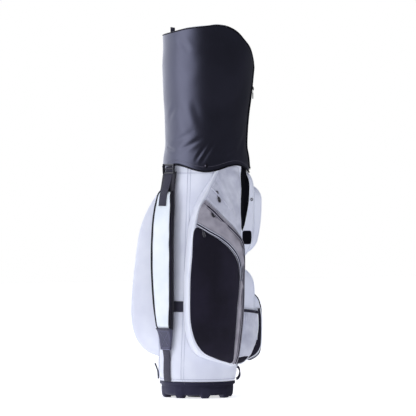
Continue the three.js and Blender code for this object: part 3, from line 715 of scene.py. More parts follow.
# ---- base -----------------------------------------------------------------------------------
def make_base():
    lugs = 8
    per_lug = 24
    cols = lugs * per_lug
    rows = [
        (58, 125.2), (52, 126), (44, 126), (40, 125.6), (39, 124.6), (38, 125.6), (30, 125.4), (20, 125),
        (15, 123.5), (11.5, 120), (10, 116),
    ]
    outer = np.zeros((len(rows) + 5, cols, 3))
    for i in range(cols):
        a = TAU * i / cols
        turn = (i / per_lug) % 1
        lug = step(0.31, 0.36, turn) - step(0.64, 0.69, turn)
        for j, (z, r) in enumerate(rows):
            foot = max(z - lug * (20 - z), 0.0) if z < 20 else z
            push = lug * (1.5 if z < 40 else 0)
            outer[j, i] = ((r + push) * math.cos(a), (r + push) * math.sin(a), foot)
        for k, (r, z) in enumerate([(112, 10), (98, 10), (96.5, 10.6), (60, 10.8), (20, 10.8)]):
            low = lug if k < 2 else 0
            outer[len(rows) + k, i] = (r * math.cos(a), r * math.sin(a), z - 10 * low)
    disc_solid("base_cup_moulding", outer, 4, PLASTIC, "bag", flip=True, replaces=["base_cup"],
               slot="moulded_plastic")
    profile = [
        (126.6, 47), (130.2, 46.2), (131.4, 47), (132, 49.5), (132, 54),
        (131.2, 56.2), (129, 57), (126.6, 57),
    ]
    sections = [[Vector((r * math.cos(TAU * i / 160), r * math.sin(TAU * i / 160), z)) for r, z in profile]
                for i in range(160)]
    verts, faces = sweep(sections, True)
    make("base_rim_moulding", verts, faces, PLASTIC, "bag", replaces=["base_rim_band"],
         slot="moulded_plastic")
    for i in range(lugs):
        a = math.radians(124) + TAU * i / lugs
        out = Vector((math.cos(a), math.sin(a), 0))
        ring = [(0.1, 0), (1.9, 0.1), (2.4, -0.5), (2.4, -1.4)]
        side = Vector((-out.y, out.x, 0))
        sections = [[out * (131.9 + d) + Vector((0, 0, 51.5)) + side * (r * math.cos(TAU * k / 14))
                     + Vector((0, 0, r * math.sin(TAU * k / 14))) for k in range(14)] for r, d in ring]
        verts, faces = sweep(sections, False)
        make(f"rim_rivet_{i + 1}", verts, faces, METAL, "bag", slot="bright_metal")


# ---- side pockets ---------------------------------------------------------------------------
EDGE = 5                    # rounding of a pocket's edge
ROOT = 40
WAIST = 0.56


class SidePocket:
    """Domed pocket on the -X (sign -1) or +X (sign 1) side."""

    def __init__(self, sign):
        self.sign = sign
        self.outline = [(p.x, p.y) for p in flat_spline(SIDE_OUTLINE, 220, closed=True)]
        self.angles = []
        for y, z in self.outline:
            self.angles.append(math.atan2(z - SIDE_CENTRE[1], y - SIDE_CENTRE[0]))
        order = sorted(range(len(self.angles)), key=lambda i: self.angles[i])
        self.by_angle = [(self.angles[i], math.hypot(self.outline[i][0] - SIDE_CENTRE[0],
                                                     self.outline[i][1] - SIDE_CENTRE[1])) for i in order]

    def reach(self, y, z):
        """0 in the middle of the face, 1 on its outline."""
        a = math.atan2(z - SIDE_CENTRE[1], y - SIDE_CENTRE[0])
        xs = [q[0] for q in self.by_angle]
        limit = float(np.interp(a, xs, [q[1] for q in self.by_angle], period=TAU))
        return math.hypot(y - SIDE_CENTRE[0], z - SIDE_CENTRE[1]) / limit, limit

    def crown(self, y, z):
        """How far out the face is before its edge is rounded."""
        return side_crest(z) - SIDE_CROWN * (y - side_crest_line(z)) ** 2

    def depth(self, y, z):
        k, limit = self.reach(y, z)
        face = self.crown(y, z)
        inside = (1 - min(k, 1)) * limit
        if inside < EDGE:
            face -= EDGE - math.sqrt(max(EDGE ** 2 - (EDGE - inside) ** 2, 0))
        relief = ripple((self.sign * 100, y, z), 80, 2.2, 5.5) + ripple((0, y, z), 30, 0.5, 1.7)
        return face + relief * min(inside / 30, 1)

    def point(self, y, z, lift=0.0):
        """Point on the pocket's face, or on the tube where the face sinks into it."""
        x = self.depth(y, z)
        c, r = body_centre(z), body_radius(z) + 1.2
        if abs(y - c) < r:
            x = soft_max(x, math.sqrt(r * r - (y - c) ** 2), 9)
        p = Vector((self.sign * x, y, z))
        if lift:
            p += self.normal(y, z) * lift
        return p

    def normal(self, y, z):
        d = 4.0
        a = self.point(y + d, z) - self.point(y - d, z)
        b = self.point(y, z + d) - self.point(y, z - d)
        n = a.cross(b).normalized()
        return n if n.x * self.sign > 0 else -n


def make_side_pocket(pocket, name, node, sink=0.0):
    """Closed shell of a side pocket; `sink` lowers its face under sewn-on panels."""
    rings = []
    wall = []
    for y, z in pocket.outline:
        start = Vector((pocket.sign * (pocket.crown(y, z) - EDGE), y, z))
        end = Vector((pocket.sign * ROOT, y * WAIST, z))
        axis = Vector((0, body_centre(z), z))
        low, high = 0.0, 1.0
        limit = body_radius(z) + 0.4
        if (start - axis).length < limit:
            high = 0.0
            flat = start - axis
            start = axis + flat * (limit / flat.length)
        for _ in range(20):
            t = (low + high) / 2
            if (start.lerp(end, t) - axis).length > limit:
                low = t
            else:
                high = t
        foot = start.lerp(end, low)
        wall.append((start, foot))
    for j in range(9):
        t = 1 - j / 9
        ring = []
        for start, foot in wall:
            p = start.lerp(foot, t)
            puff = math.sin(math.pi * t) * min((start - foot).length / 60, 1)
            n = Vector((0, start.y, start.z - 420)).normalized()
            ring.append(p + n * (puff * (1.2 + ripple(p, 60, 2, 2.2))))
        rings.append(ring)
    shares = [1.0, 0.993, 0.986, 0.978, 0.968, 0.955]
    shares += [0.955 * (1 - s / 26) for s in range(1, 26)]
    for k in shares:
        ring = []
        for y, z in pocket.outline:
            inside = (1 - k) * math.hypot(y - SIDE_CENTRE[0], z - SIDE_CENTRE[1])
            lower = -sink * step(7, 12, inside)
            ring.append(pocket.point(mix(SIDE_CENTRE[0], y, k), mix(SIDE_CENTRE[1], z, k), lower))
        rings.append(ring)
    disc_solid(name, rings, 2.0, WHITE, "bag", flip=pocket.sign > 0, replaces=[node], slot="white_fabric")
    centre_y, centre_z = SIDE_CENTRE

    def inset(distance, lift):
        path = []
        for y, z in pocket.outline:
            k = 1 - distance / math.hypot(y - centre_y, z - centre_z)
            path.append(pocket.point(mix(centre_y, y, k), mix(centre_z, z, k), lift))
        return path

    tube(name + "_piping", inset(2.2, 0.8), 2.0, PIPE_WHITE, "bag", closed=True, slot="white_fabric")
    # The lines inside the piping, on its rim and down the wall are stitching whose dark colour also paints
    # the groove shade on both sides of the piping.
    seam_and_groove_shade_colour = SEAM_DARK if sink else GREY_THREAD_AND_SEAM_SHADE
    tube(name + "_seam", inset(4.9, 1.0), 1.0, seam_and_groove_shade_colour, "bag", closed=True, sides=6,
         slot="white_fabric")
    tube(name + "_rim_seam_and_shade", inset(-0.4, 0.0), 1.0, GREY_THREAD_AND_SEAM_SHADE, "bag", closed=True, sides=6,
         slot="white_fabric")
    for number, distance in enumerate((3, 8)):
        lower = []
        for start, foot in wall:
            lower.append(start.lerp(foot, min(distance / max((foot - start).length, distance), 1)))
        tube(f"{name}_wall_seam_and_shade_{number + 1}", lower, 0.9, GREY_THREAD_AND_SEAM_SHADE, "bag", closed=True, sides=6,
             slot="white_fabric")


# Panels of the -X pocket, as (along Y, height).
BLACK_PANEL = [
    (-36, 124), (-8, 128), (40, 141), (98, 165), (135, 206), (154, 265), (155, 368), (144, 480), (123, 592),
    (81, 571), (32, 543), (-8, 514), (-34, 486), (-48, 455), (-51, 406), (-36, 320), (-26, 226), (-26, 163),
]
SATIN_TOP = [
    (74, 688), (53, 664), (20, 631), (-30, 589), (-64, 553), (-79, 522), (-79, 492), (-73, 424), (-65, 320),
    (-52, 226), (-47, 163), (-50, 120),
]
SATIN_LOW = [
    (119, 593), (81, 573), (31, 546), (-9, 518), (-36, 489), (-51, 457), (-54, 406), (-39, 320), (-29, 226),
    (-29, 163), (-39, 122),
]
SATIN_ZIP = [
    (84, 674), (57, 648), (24, 614), (-27, 575), (-62, 545), (-75, 517), (-76, 488), (-70, 424), (-62, 320),
    (-50, 226), (-45, 163), (-48, 124),
]
BLACK_ZIP = [(120, 603), (81, 579), (31, 552), (-9, 524), (-39, 493), (-54, 457), (-58, 406)]
UPPER_LOW = [(73, 689), (54, 667), (21, 634), (-29, 592), (-62, 556)]
UPPER_TOP = [(71, 692), (46, 727), (20, 764), (4, 794), (-30, 805), (-79, 805)]


def strip_between(pocket, left, right, count, rows, lift, relief=None, bow=(0, 0)):
    """Grid on the pocket between two curves, edges tucked down; `bow` is how far its first end bulges."""
    a = flat_spline(left, count)
    b = flat_spline(right, count)
    grid = []
    for j in range(rows):
        t = j / (rows - 1)
        row = []
        for i in range(count):
            s = i / (count - 1)
            bulge = 4 * t * (1 - t) * max(1 - s * 8, 0)
            y = mix(a[i].x, b[i].x, t) + bow[0] * bulge
            z = mix(a[i].y, b[i].y, t) + bow[1] * bulge
            width = (a[i] - b[i]).length
            tuck = min(t, 1 - t) * width
            up = lift * (0.35 + 0.65 * step(0, 5, tuck)) * (1 - 0.8 * step(765, 795, z))
            if relief:
                up += relief(s, t, y, z) * step(0, 10, tuck) * (1 - step(770, 795, z))
            row.append(pocket.point(y, z, up))
        grid.append(row)
    return grid


def make_side_panels(pocket):
    outline = flat_spline(BLACK_PANEL, 200, closed=True)
    middle = Vector((48, 380, 0))
    rings = []
    for k in [1.0, 0.992, 0.984, 0.97, 0.945] + [0.945 * (1 - s / 24) for s in range(1, 24)]:
        ring = []
        for p in outline:
            q = middle.lerp(p, k)
            edge = (1 - k) * (p - middle).length
            pleat = 0.6 * math.exp(-((q.x - 92 + 0.05 * q.y) / 5) ** 2) * step(20, 60, edge)
            ring.append(pocket.point(q.x, q.y, 1.0 + 1.6 * step(0, 4, edge) - pleat))
        rings.append(ring)
    disc_solid("side_pocket_black_cloth", rings, 0.8, BLACK, "bag", replaces=["side_pocket_black_panel"],
               slot="black_fabric")

    def satin_folds(s, t, y, z):
        wave = math.sin(s * 34 + t * 5 + 1.6 * math.sin(s * 11))
        fan = (2.2 * wave + 1.4 * wave ** 3) * math.sin(math.pi * min(t * 1.2 + 0.15, 1))
        return fan * (1 - 0.75 * step(0.5, 0.75, s)) + ripple((y, z, 0), 24, 1.0, 4)

    grid = strip_between(pocket, SATIN_TOP, SATIN_LOW, 280, 30, 5.4, satin_folds, bow=(8, 6))
    sheet_solid("side_pocket_satin", grid, 0.8, SATIN, "bag", flip=True, replaces=["side_pocket_satin_band"],
                slot="grey_satin")

    def drape(s, t, y, z):
        across = y * 0.945 - z * 0.327
        fold = math.sin(across / 5.5 + 1.2 * math.sin(z * 0.02) + 0.6 * math.sin(y * 0.06))
        broad = math.sin(across / 13 + 0.8)
        pleats = (1.3 * fold + 0.7 * fold ** 3) * (0.6 + 0.4 * broad)
        return pleats + 1.5 * broad + ripple((y, z, 0), 40, 1.0, 7)

    grid = strip_between(pocket, UPPER_LOW, UPPER_TOP, 130, 90, 4.6, drape)
    sheet_solid("side_pocket_upper_cloth", grid, 0.8, GREY, "bag", flip=False,
                replaces=["side_pocket_upper_panel"], slot="light_grey_fabric")


# ---- front pockets --------------------------------------------------------------------------
FRONT_CROWN = 0.0011


class FrontPocket:
    """Domed pocket on the -Y side with an upright rounded outline."""

    def __init__(self, half, low, high, corner, crest, edge, foot):
        self.half, self.low, self.high, self.corner = half, low, high, corner
        self.crest, self.edge, self.foot = crest, edge, foot
        self.centre = (0, (low + high) / 2)
        knots = []
        for q, (cx, cz) in enumerate([
            (half - corner, low + corner), (half - corner, high - corner),
            (-half + corner, high - corner), (-half + corner, low + corner),
        ]):
            for s in range(5):
                a = (q - 1 + s / 4) * math.pi / 2
                knots.append((cx + corner * math.cos(a), cz + corner * math.sin(a), 0))
            ahead = [
                (half, high - corner), (-half + corner, high), (-half, low + corner), (half - corner, low),
            ][q]
            last = knots[-1]
            for share in (0.06, 0.5, 0.94):
                knots.append((mix(last[0], ahead[0], share), mix(last[1], ahead[1], share), 0))
        self.outline = [(p.x, p.y) for p in spline(knots, 180, closed=True)]

    def inside(self, x, z):
        """Distance from a point of the face to its outline."""
        dx = self.half - self.corner - abs(x)
        dz = min(z - self.low, self.high - z) - self.corner
        if dx > 0 or dz > 0:
            return min(dx, dz) + self.corner if (dx > 0 and dz > 0) else self.corner + min(dx, dz)
        return self.corner - math.hypot(dx, dz)

    def depth(self, x, z):
        face = self.crest(z) - FRONT_CROWN * x * x
        near = max(self.inside(x, z), 0)
        if near < self.edge:
            face -= self.edge - math.sqrt(max(self.edge ** 2 - (self.edge - near) ** 2, 0))
        return face + (ripple((x, 77, z), 60, 2.0, 3.3) + ripple((x, 7, z), 26, 0.5, 6.1)) * min(near / 25, 1)

    def point(self, x, z, lift=0.0):
        p = Vector((x, -self.depth(x, z), z))
        if lift:
            p += self.normal(x, z) * lift
        return p

    def normal(self, x, z):
        d = 3.0
        a = self.point(x + d, z) - self.point(x - d, z)
        b = self.point(x, z + d) - self.point(x, z - d)
        n = a.cross(b).normalized()
        return n if n.y < 0 else -n

    def scaled(self, k):
        return [(mix(self.centre[0], x, k), mix(self.centre[1], z, k)) for x, z in self.outline]


def tube_front(x, z):
    """How far out the tube's ball-pocket side is at x, z."""
    r = body_radius(z)
    return -body_centre(z) + math.sqrt(max(r * r - x * x, 900))


WALL_CHANGE = 300                   # the ball pocket's wall is black below this height


def make_front_pocket(pocket, name, node, wall_material, piping):
    """Domed shell of white cloth; a wall of another cloth shows below WALL_CHANGE."""
    rings = []
    for j in range(8):
        t = j / 8
        ring = []
        for x, z in pocket.outline:
            top = pocket.crest(z) - FRONT_CROWN * x * x - pocket.edge
            foot = min(pocket.foot(x, z) - 1, top - 0.2)
            puff = math.sin(math.pi * t) * min((top - foot) / 40, 1) * (0.4 + ripple((x, 9, z), 40, 0.8, 1.1))
            out = Vector((x, 0, z - pocket.centre[1])).normalized()
            ring.append(Vector((x, -mix(foot, top, t), z)) + out * puff)
        rings.append(ring)
    for k in [1.0, 0.992, 0.984, 0.975, 0.965, 0.95] + [0.95 * (1 - s / 20) for s in range(1, 20)]:
        rings.append([pocket.point(x, z) for x, z in pocket.scaled(k)])
    body = disc_solid(name, rings, 1.8, [WHITE, wall_material], "bag", replaces=[node],
                      slot="white_fabric")
    if wall_material is not WHITE:
        for polygon in body.data.polygons[:8 * len(pocket.outline)]:
            polygon.material_index = 1 if polygon.center.z < WALL_CHANGE * MM else 0

    def inset(k, lift):
        return [pocket.point(x, z, lift) for x, z in pocket.scaled(k)]

    tube(name + "_piping", inset(0.99, 0.8), 2.1, piping, "bag", closed=True, slot="white_fabric")
    tube(name + "_seam", inset(0.93, 0.2), 0.5, GREY_THREAD_AND_SEAM_SHADE, "bag", closed=True, sides=6, slot="white_fabric")
    foot = [Vector((x, -pocket.foot(x, z) - 0.6, z)) for x, z in pocket.outline]
    tube(name + "_foot_seam", foot, 1.2, piping, "bag", closed=True, slot="white_fabric")


upper_body_face = smooth([(470, 148), (540, 176), (600, 186), (738, 184), (783, 172), (800, 156)])
upper_pocket_face = smooth([(500, 180), (540, 206), (616, 223), (700, 226), (737, 214)])
ball_body_face = smooth([(118, 150), (160, 172), (300, 184), (384, 184), (424, 172), (455, 146)])
ball_pocket_face = smooth([(126, 188), (150, 213), (195, 223), (300, 223), (340, 211), (362, 198)])

upper_body = FrontPocket(106, 478, 797, 60, upper_body_face, 14, tube_front)
upper_pocket = FrontPocket(88, 502, 737, 50, upper_pocket_face, 10, upper_body.depth)
ball_body = FrontPocket(112, 112, 455, 55, ball_body_face, 14, tube_front)
ball_pocket = FrontPocket(94, 126, 362, 34, ball_pocket_face, 9, ball_body.depth)


def flank(pocket, y, z, lift=0.0):
    """Point on the -X flank of a front pocket, or on the tube where that is further out."""
    dz = min(z - pocket.low, pocket.high - z)
    half = pocket.half
    if dz < pocket.corner:
        half -= pocket.corner - math.sqrt(max(pocket.corner ** 2 - (pocket.corner - dz) ** 2, 0))
    top = pocket.crest(z) - FRONT_CROWN * half * half
    over = -y - (top - pocket.edge)
    if over > 0:
        half -= pocket.edge - math.sqrt(max(pocket.edge ** 2 - min(over, pocket.edge) ** 2, 0))
    c, r = body_centre(z), body_radius(z)
    x = half
    if abs(y - c) < r:
        x = max(x, math.sqrt(r * r - (y - c) ** 2))
    return Vector((-x - lift, y, z))


def rounded_box(y0, y1, z0, z1, corner):
    """Knots of a rounded rectangle."""
    knots = []
    centres = [(y1 - corner, z0 + corner), (y1 - corner, z1 - corner), (y0 + corner, z1 - corner),
               (y0 + corner, z0 + corner)]
    for q, (y, z) in enumerate(centres):
        for turn in range(4):
            a = (q - 1 + turn / 3) * math.pi / 2
            knots.append((y + corner * math.cos(a), z + corner * math.sin(a)))
    return knots


def flank_patch(name, pocket, knots, lift, material, node, slot, count=90):
    """Cloth sewn to a flank inside a closed outline; gives back its edge."""
    outline = flat_spline(knots, count, closed=True)
    middle = sum(outline, Vector()) / count
    rings = []
    for k in [1.0, 0.98, 0.95, 0.9] + [0.9 * (1 - s / 10) for s in range(1, 10)]:
        ring = []
        for p in outline:
            q = middle.lerp(p, k)
            edge = (1 - k) * (p - middle).length
            ring.append(flank(pocket, q.x, q.y, lift * (0.5 + 0.5 * step(0, 4, edge))))
        rings.append(ring)
    disc_solid(name, rings, 0.6, material, "bag", replaces=[node], slot=slot)
    return [flank(pocket, p.x, p.y, lift * 0.6) for p in outline]


def make_front():
    for pocket, name, node, wall_material, piping in (
        (upper_body, "front_panel_shell", "front_upper_body", WHITE, PIPE_WHITE),
        (upper_pocket, "front_upper_pocket_shell", "front_upper_pocket", WHITE, PIPE_WHITE),
        (ball_body, "ball_pocket_shell", "ball_pocket_body", WHITE, PIPE_WHITE),
        (ball_pocket, "ball_pocket_front_shell", "ball_pocket_outer", BLACK, PIPE_DARK),
    ):
        make_front_pocket(pocket, name, node, wall_material, piping)
    slot_edge = flank_patch("slot_lining_cloth", upper_body, [
        (-84, 800), (-84, 727), (-85, 672), (-91, 618), (-101, 586), (-111, 577), (-122, 590), (-135, 634),
        (-145, 682), (-148, 727), (-147, 765), (-141, 800), (-112, 806),
    ], 2.2, LINING, "slot_lining", "black_fabric", count=160)
    tube("slot_binding", slot_edge, 1.7, PIPE_WHITE, "bag", closed=True, slot="white_fabric")
    patch_edge = flank_patch("glove_patch_cloth", upper_body, rounded_box(-155, -117, 534, 580, 6), 2.4,
                             LINING, "glove_patch", "black_fabric")
    tube("glove_patch_stitching", patch_edge, 0.5, THREAD_DARK, "bag", closed=True, sides=6,
         slot="black_fabric")
    centre = flank(upper_body, -157, 690, 1.4)
    turns = [TAU * k / 28 for k in range(28)]
    ring = [centre + Vector((0, 4.2 * math.cos(a), 4.2 * math.sin(a))) for a in turns]
    tube("front_snap_ring", ring, 1.1, METAL, "bag", closed=True, slot="bright_metal")
    make_slip_pocket()


def make_slip_pocket():
    """Gathered pocket on the ball pocket's flank, under an elastic band, with a black gusset round it."""
    left, right, low, high, fall = -98, -186, 142, 302, 11
    cols, rows = 150, 60

    def swell_at(s):
        return 7 * math.sin(math.pi * min(max(s, 0.02), 0.98))

    points = []
    for j in range(rows):
        t = j / (rows - 1)
        row = []
        for i in range(cols):
            s = i / (cols - 1)
            bottom = mix(low, 172, step(0.45, 1.0, s)) + 26 * step(0.7, 1.0, s)
            z = mix(bottom, high - fall * s, t)
            y = mix(left, right, s) - 2.5 * math.sin(math.pi * t) * s
            gather = math.sin(s * 70 + 0.9 * math.sin(s * 17)) * step(0.2, 1.0, t) ** 1.5 * 1.8
            swell = swell_at(s) * (0.4 + 0.6 * math.sin(math.pi * min(t + 0.1, 1)))
            slack = 2.2 * math.sin(s * 9 + t * 5) * math.sin(math.pi * t)
            lift = 3 + swell + (gather + slack) * min(min(s, 1 - s) * 5, 1) + ripple((y, z, 3), 26, 1.2, 9)
            row.append(flank(ball_body, y, z, max(lift, 1.0)))
        points.append(row)
    sheet_solid("slip_pocket_cloth", points, 0.7, GREY, "bag", replaces=["slip_pocket"],
                slot="light_grey_fabric")
    path, outs = [], []
    for i in range(60):
        s = i / 59
        puff = 3 + swell_at(s) * 0.55
        path.append(flank(ball_body, mix(left + 3, right - 4, s), high + 3 - fall * s, puff))
        outs.append(Vector((-1, 0, 0)))
    band("slip_pocket_band", path, Vector((0, 0, 1)), outs, 10, 2.2, WEBBING, "bag", ribs=0.4,
         replaces=["slip_pocket_elastic"], slot="webbing")
    a = flat_spline([
        (-186, 306), (-190, 270), (-189, 232), (-180, 195), (-172, 176), (-157, 160), (-132, 146), (-98, 140),
    ], 90)
    b = flat_spline([
        (-200, 309), (-205, 280), (-205, 200), (-201, 172), (-184, 147), (-163, 134), (-132, 118), (-98, 108),
    ], 90)
    grid = []
    for j in range(9):
        t = j / 8
        row = []
        for p, q in zip(a, b):
            y, z = mix(p.x, q.x, t), mix(p.y, q.y, t)
            row.append(flank(ball_body, y, z, 2.4 * math.sin(math.pi * mix(0.15, 0.85, t))))
        grid.append(row)
    sheet_solid("ball_pocket_gusset", grid, 0.8, BLACK, "bag", slot="black_fabric")
    for number, line in enumerate((a, b)):
        path = [flank(ball_body, p.x, p.y, 2.0) for p in line]
        tube(f"gusset_piping_{number + 1}", path, 1.8, PIPE_WHITE, "bag", slot="white_fabric")


# ---- hood -----------------------------------------------------------------------------------
VIEW_ANGLE = math.atan2(VIEW.y, VIEW.x)
FRONT = Vector((math.cos(HOOD_FRONT), math.sin(HOOD_FRONT), 0))
HOOD_ROUND = 5                      # rounding where the hood's wall turns into its top
TOP_DROP = 9                        # how much lower the top is at its two sides than along its middle
HOOD_ARC = 2.6                      # length of one degree along the hood's wall
# Creases: (angle from the view in degrees, height) at both ends, width and depth in mm.
CREASES = [
    ((-8, 812), (16, 902), 6, 2.4),
    ((-16, 818), (2, 884), 6, 1.6),
    ((2, 800), (30, 868), 7, 1.9),
    ((20, 822), (48, 858), 8, 1.5),
    ((-40, 858), (-4, 902), 7, 2.4),
    ((-58, 876), (-16, 926), 10, 1.9),
    ((-72, 872), (-48, 860), 6, 3.5),
    ((-64, 972), (-44, 1018), 11, 1.8),
    ((-48, 1278), (-24, 1200), 11, 1.8),
    ((-20, 1040), (-6, 930), 16, 1.3),
    ((-40, 1020), (-16, 905), 20, 1.2),
    ((8, 880), (38, 1040), 26, 1.3),
    ((46, 840), (76, 925), 12, 1.9),
    ((96, 840), (124, 930), 12, 3.0),
    ((154, 860), (132, 940), 12, 3.0),
    ((-106, 840), (-134, 920), 12, 3.0),
    ((-164, 870), (-146, 970), 13, 2.8),
    ((174, 1220), (150, 1140), 13, 2.4),
    ((-96, 1130), (-124, 1040), 14, 2.4),
]


def crease_depth(angle, z):
    """Relief of the hood's creases at an angle and a height."""
    turn = math.degrees((angle - VIEW_ANGLE + math.pi) % TAU - math.pi)
    total = 0.0
    for (a0, z0), (a1, z1), width, deep in CREASES:
        dx, dz = (a1 - a0) * HOOD_ARC, z1 - z0
        for shift in (0, 360, -360):
            px, pz = (turn + shift - a0) * HOOD_ARC, z - z0
            t = (px * dx + pz * dz) / (dx * dx + dz * dz)
            t = min(max(t, 0), 1)
            gap = math.hypot(px - dx * t, pz - dz * t) / width
            if gap > 4:
                continue
            fade = math.sin(math.pi * t) ** 0.8
            total -= deep * fade * (math.exp(-gap ** 2) - 0.4 * math.exp(-(gap - 1.8) ** 2))
    return total


def hood_edge(angle):
    return HOOD_BOTTOM - HOOD_SCALLOP * math.cos(4 * (angle - HOOD_FRONT))


def hood_point(angle, level, lift=0.0):
    """Point on the hood: level 0 to 1 is the wall from its scalloped edge to the rim, 1 to 2 the top."""
    full = hood_radius(HOOD_SHOULDER)
    across = math.cos(angle - HOOD_FRONT)
    if level <= 1:
        rim = hood_top(full * across) - HOOD_ROUND - TOP_DROP * math.sin(angle - HOOD_FRONT) ** 2
        z = mix(hood_edge(angle), rim, level)
        r = hood_radius(z)
    else:
        share = 2 - level
        inside = min(full * (1 - share), HOOD_ROUND)
        r = full * share
        z = hood_top(r * across) - HOOD_ROUND + math.sqrt(HOOD_ROUND ** 2 - (HOOD_ROUND - inside) ** 2)
        z += ripple((r * math.cos(angle), r * math.sin(angle), 5), 60, 3.0, 6.6) * step(0, 30, full - r)
        z -= TOP_DROP * (share * math.sin(angle - HOOD_FRONT)) ** 2
    flat = Vector((150 * math.cos(angle), 150 * math.sin(angle), z))
    wall = step(0, 0.06, level) * (1 - step(0.9, 1.0, level))
    soft = ripple(flat, 120, 2.6, 2.7) + ripple(flat, 45, 0.7, 9.9) + crease_depth(angle, z)
    near = abs(angle - HOOD_FRONT) * 155
    r += wall * soft * step(4, 30, near) + (lift if level < 1.02 else 0)
    raised = z + (lift if level > 0.98 else 0)
    return Vector((r * math.cos(angle), hood_centre(z) + r * math.sin(angle), raised))


HOOD_LEVELS = [i / 110 for i in range(111)] + [1 + 0.999 * (i / 70) ** 1.5 for i in range(1, 71)]


def ring_piece(name, at, out, profile, material, body, sides=24, **facts):
    """Round turned piece standing on a point, from (radius, height) pairs."""
    side = out.orthogonal().normalized()
    up = out.cross(side)
    turns = [(math.cos(TAU * k / sides), math.sin(TAU * k / sides)) for k in range(sides)]
    sections = [[at + out * d + side * (r * c) + up * (r * s) for c, s in turns] for r, d in profile]
    verts, faces = sweep(sections, False)
    return make(name, verts, faces, material, body, **facts)


def make_hood():
    cols = 260
    angles = [HOOD_FRONT + TAU * i / cols for i in range(cols)]
    rings = [[hood_point(a, level) for a in angles] for level in HOOD_LEVELS]
    disc_solid("hood_cloth", rings, 1.6, HOOD, "hood", replaces=["hood_shell"], slot="hood_fabric")
    circle = [HOOD_FRONT + TAU * i / 300 for i in range(300)]
    edge = [hood_point(a, 0, -0.2) - Vector((0, 0, 2.4)) for a in circle]
    tube("hood_edge_piping", edge, 2.5, PIPE_DARK, "hood", closed=True, sides=10, replaces=["hood_piping"],
         slot="hood_fabric")
    tube("hood_edge_stitching", [hood_point(a, 0.028, 0.1) for a in circle], 0.5, SEAM_DARK, "hood",
         closed=True, sides=6, slot="hood_fabric")
    tube("hood_rim_piping", [hood_point(a, 1.008, 0.8) for a in circle], 2.0, PIPE_DARK, "hood", closed=True,
         slot="hood_fabric")
    snap = [
        (6.8, -0.6), (6.8, 0.6), (6.2, 1.4), (5.2, 1.7), (4.6, 1.3), (3.9, 1.3),
        (3.3, 2.2), (1.8, 2.9), (0.2, 3.1),
    ]
    for i in range(4):
        a = HOOD_FRONT + i * math.pi / 2
        at = hood_point(a, 0.036, 0.4 + (2.2 if i == 0 else 0))
        out = Vector((math.cos(a), math.sin(a), 0))
        ring_piece(f"hood_snap_{i + 1}", at, out, snap, METAL_DARK, "hood", replaces=[f"snap_cap_{i + 1}"],
                   slot="bright_metal")
    back = -FRONT
    crown = Vector((0, hood_centre(HOOD_SHOULDER), 0))
    foot = crown + back * 124
    path, outs = [], []
    for i in range(25):
        a = math.pi * i / 24
        over = VIEW * (7 * math.cos(a)) + Vector((0, 0, 22 * math.sin(a)))
        path.append(Vector((foot.x, foot.y, 1270)) + over)
        outs.append((VIEW * math.cos(a) + Vector((0, 0, math.sin(a)))).normalized())
    band("hood_tab_loop", path, (back * 0.99 + Vector((0, 0, 0.14))), outs, 16, 2, WEBBING, "hood", ribs=0.3,
         replaces=["hood_tab"], slot="webbing")
    stud = crown + back * 106 + Vector((0, 0, hood_top(-106)))
    ring_piece("hood_top_stud", stud, Vector((0, 0, 1)), [(4, -1), (4, 1), (3, 2.4), (0.3, 3.2)],
               METAL_DARK, "hood", sides=16, slot="bright_metal")
    make_hood_zip()


def make_hood_zip():
    """Zip down the hood's front, between two thick bindings."""
    full = hood_radius(HOOD_SHOULDER)
    start = 2 - 27 / full
    down = [start + (1.0 - start) * i / 70 for i in range(70)] + [1 - 0.97 * i / 90 for i in range(91)]
    path = [hood_point(HOOD_FRONT, level, 0.8) for level in down]
    side = Vector((-FRONT.y, FRONT.x, 0))
    outs = []
    for run in runs(path):
        out = side.cross(run).normalized()
        outs.append(out if out.dot(FRONT) + out.z > 0 else -out)
    zip_track("hood_zip_track", path, outs, "hood", tape=WEBBING)
    for sign in (-1, 1):
        rail = [p + side * (sign * 6.5) + out * 0.4 for p, out in zip(path, outs)]
        tube(f"hood_binding_{'left' if sign < 0 else 'right'}", rail, 3.0, PIPE_DARK, "hood", sides=10,
             slot="hood_fabric")


# ---- shoulder strap -------------------------------------------------------------------------
def strap_across(z):
    yaw = math.radians(strap_yaw(z))
    return Vector((math.cos(yaw), math.sin(yaw), 0))


def strap_out(z):
    across = strap_across(z)
    return Vector((-across.y, across.x, 0))


def strap_at(z, aside=0.0, lift=0.0):
    """Point on the strap, `aside` along its width and `lift` off its inner face."""
    return Vector((strap_x(z), strap_inner(z), z)) + strap_across(z) * aside + strap_out(z) * lift


def strap_piece(name, zs, width, lift, thick, material, corner, ribs=0.0, **facts):
    """Flat piece lying along the strap; width, lift and thick are functions of height."""
    sections = []
    for i, z in enumerate(zs):
        w, d = width(z), thick(z)
        grow = ribs * (i % 2)
        section = rounded_section(w, d, corner)
        sections.append([strap_at(z, x, lift(z) + d / 2 + y * (1 + grow / d)) for x, y in section])
    verts, faces = sweep(sections, False)
    return make(name, verts, faces, material, "shoulder_strap", **facts)


PAD_LOW = BACKING_THICK + 0.3
PAD_SHOULDER = PAD_LOW + 6          # lift of the pad's side piping
PAD_FACE = 0.86                     # share of the pad's width that is white
PAD_TOP = PAD_LOW + PAD_THICK
pad_half = smooth([
    (239, 30), (244, 33), (252, 34.5), (433, 42), (560, 42), (654, 39.5), (690, 35), (712, 30), (718, 26),
])
pad_rise = smooth([(239, 0.25), (252, 0.9), (270, 1), (690, 1), (708, 0.85), (718, 0.3)])


def pad_face(z, x):
    """Lift of the white face at a height; x runs from -1 to 1 across it."""
    crown = (1 - abs(x) ** 3) ** 0.6
    soft = ripple((x * 40, 5, z), 34, 1.6, 4.4) * crown
    return PAD_LOW + (PAD_SHOULDER - PAD_LOW + (PAD_TOP - PAD_SHOULDER) * crown + soft) * pad_rise(z)


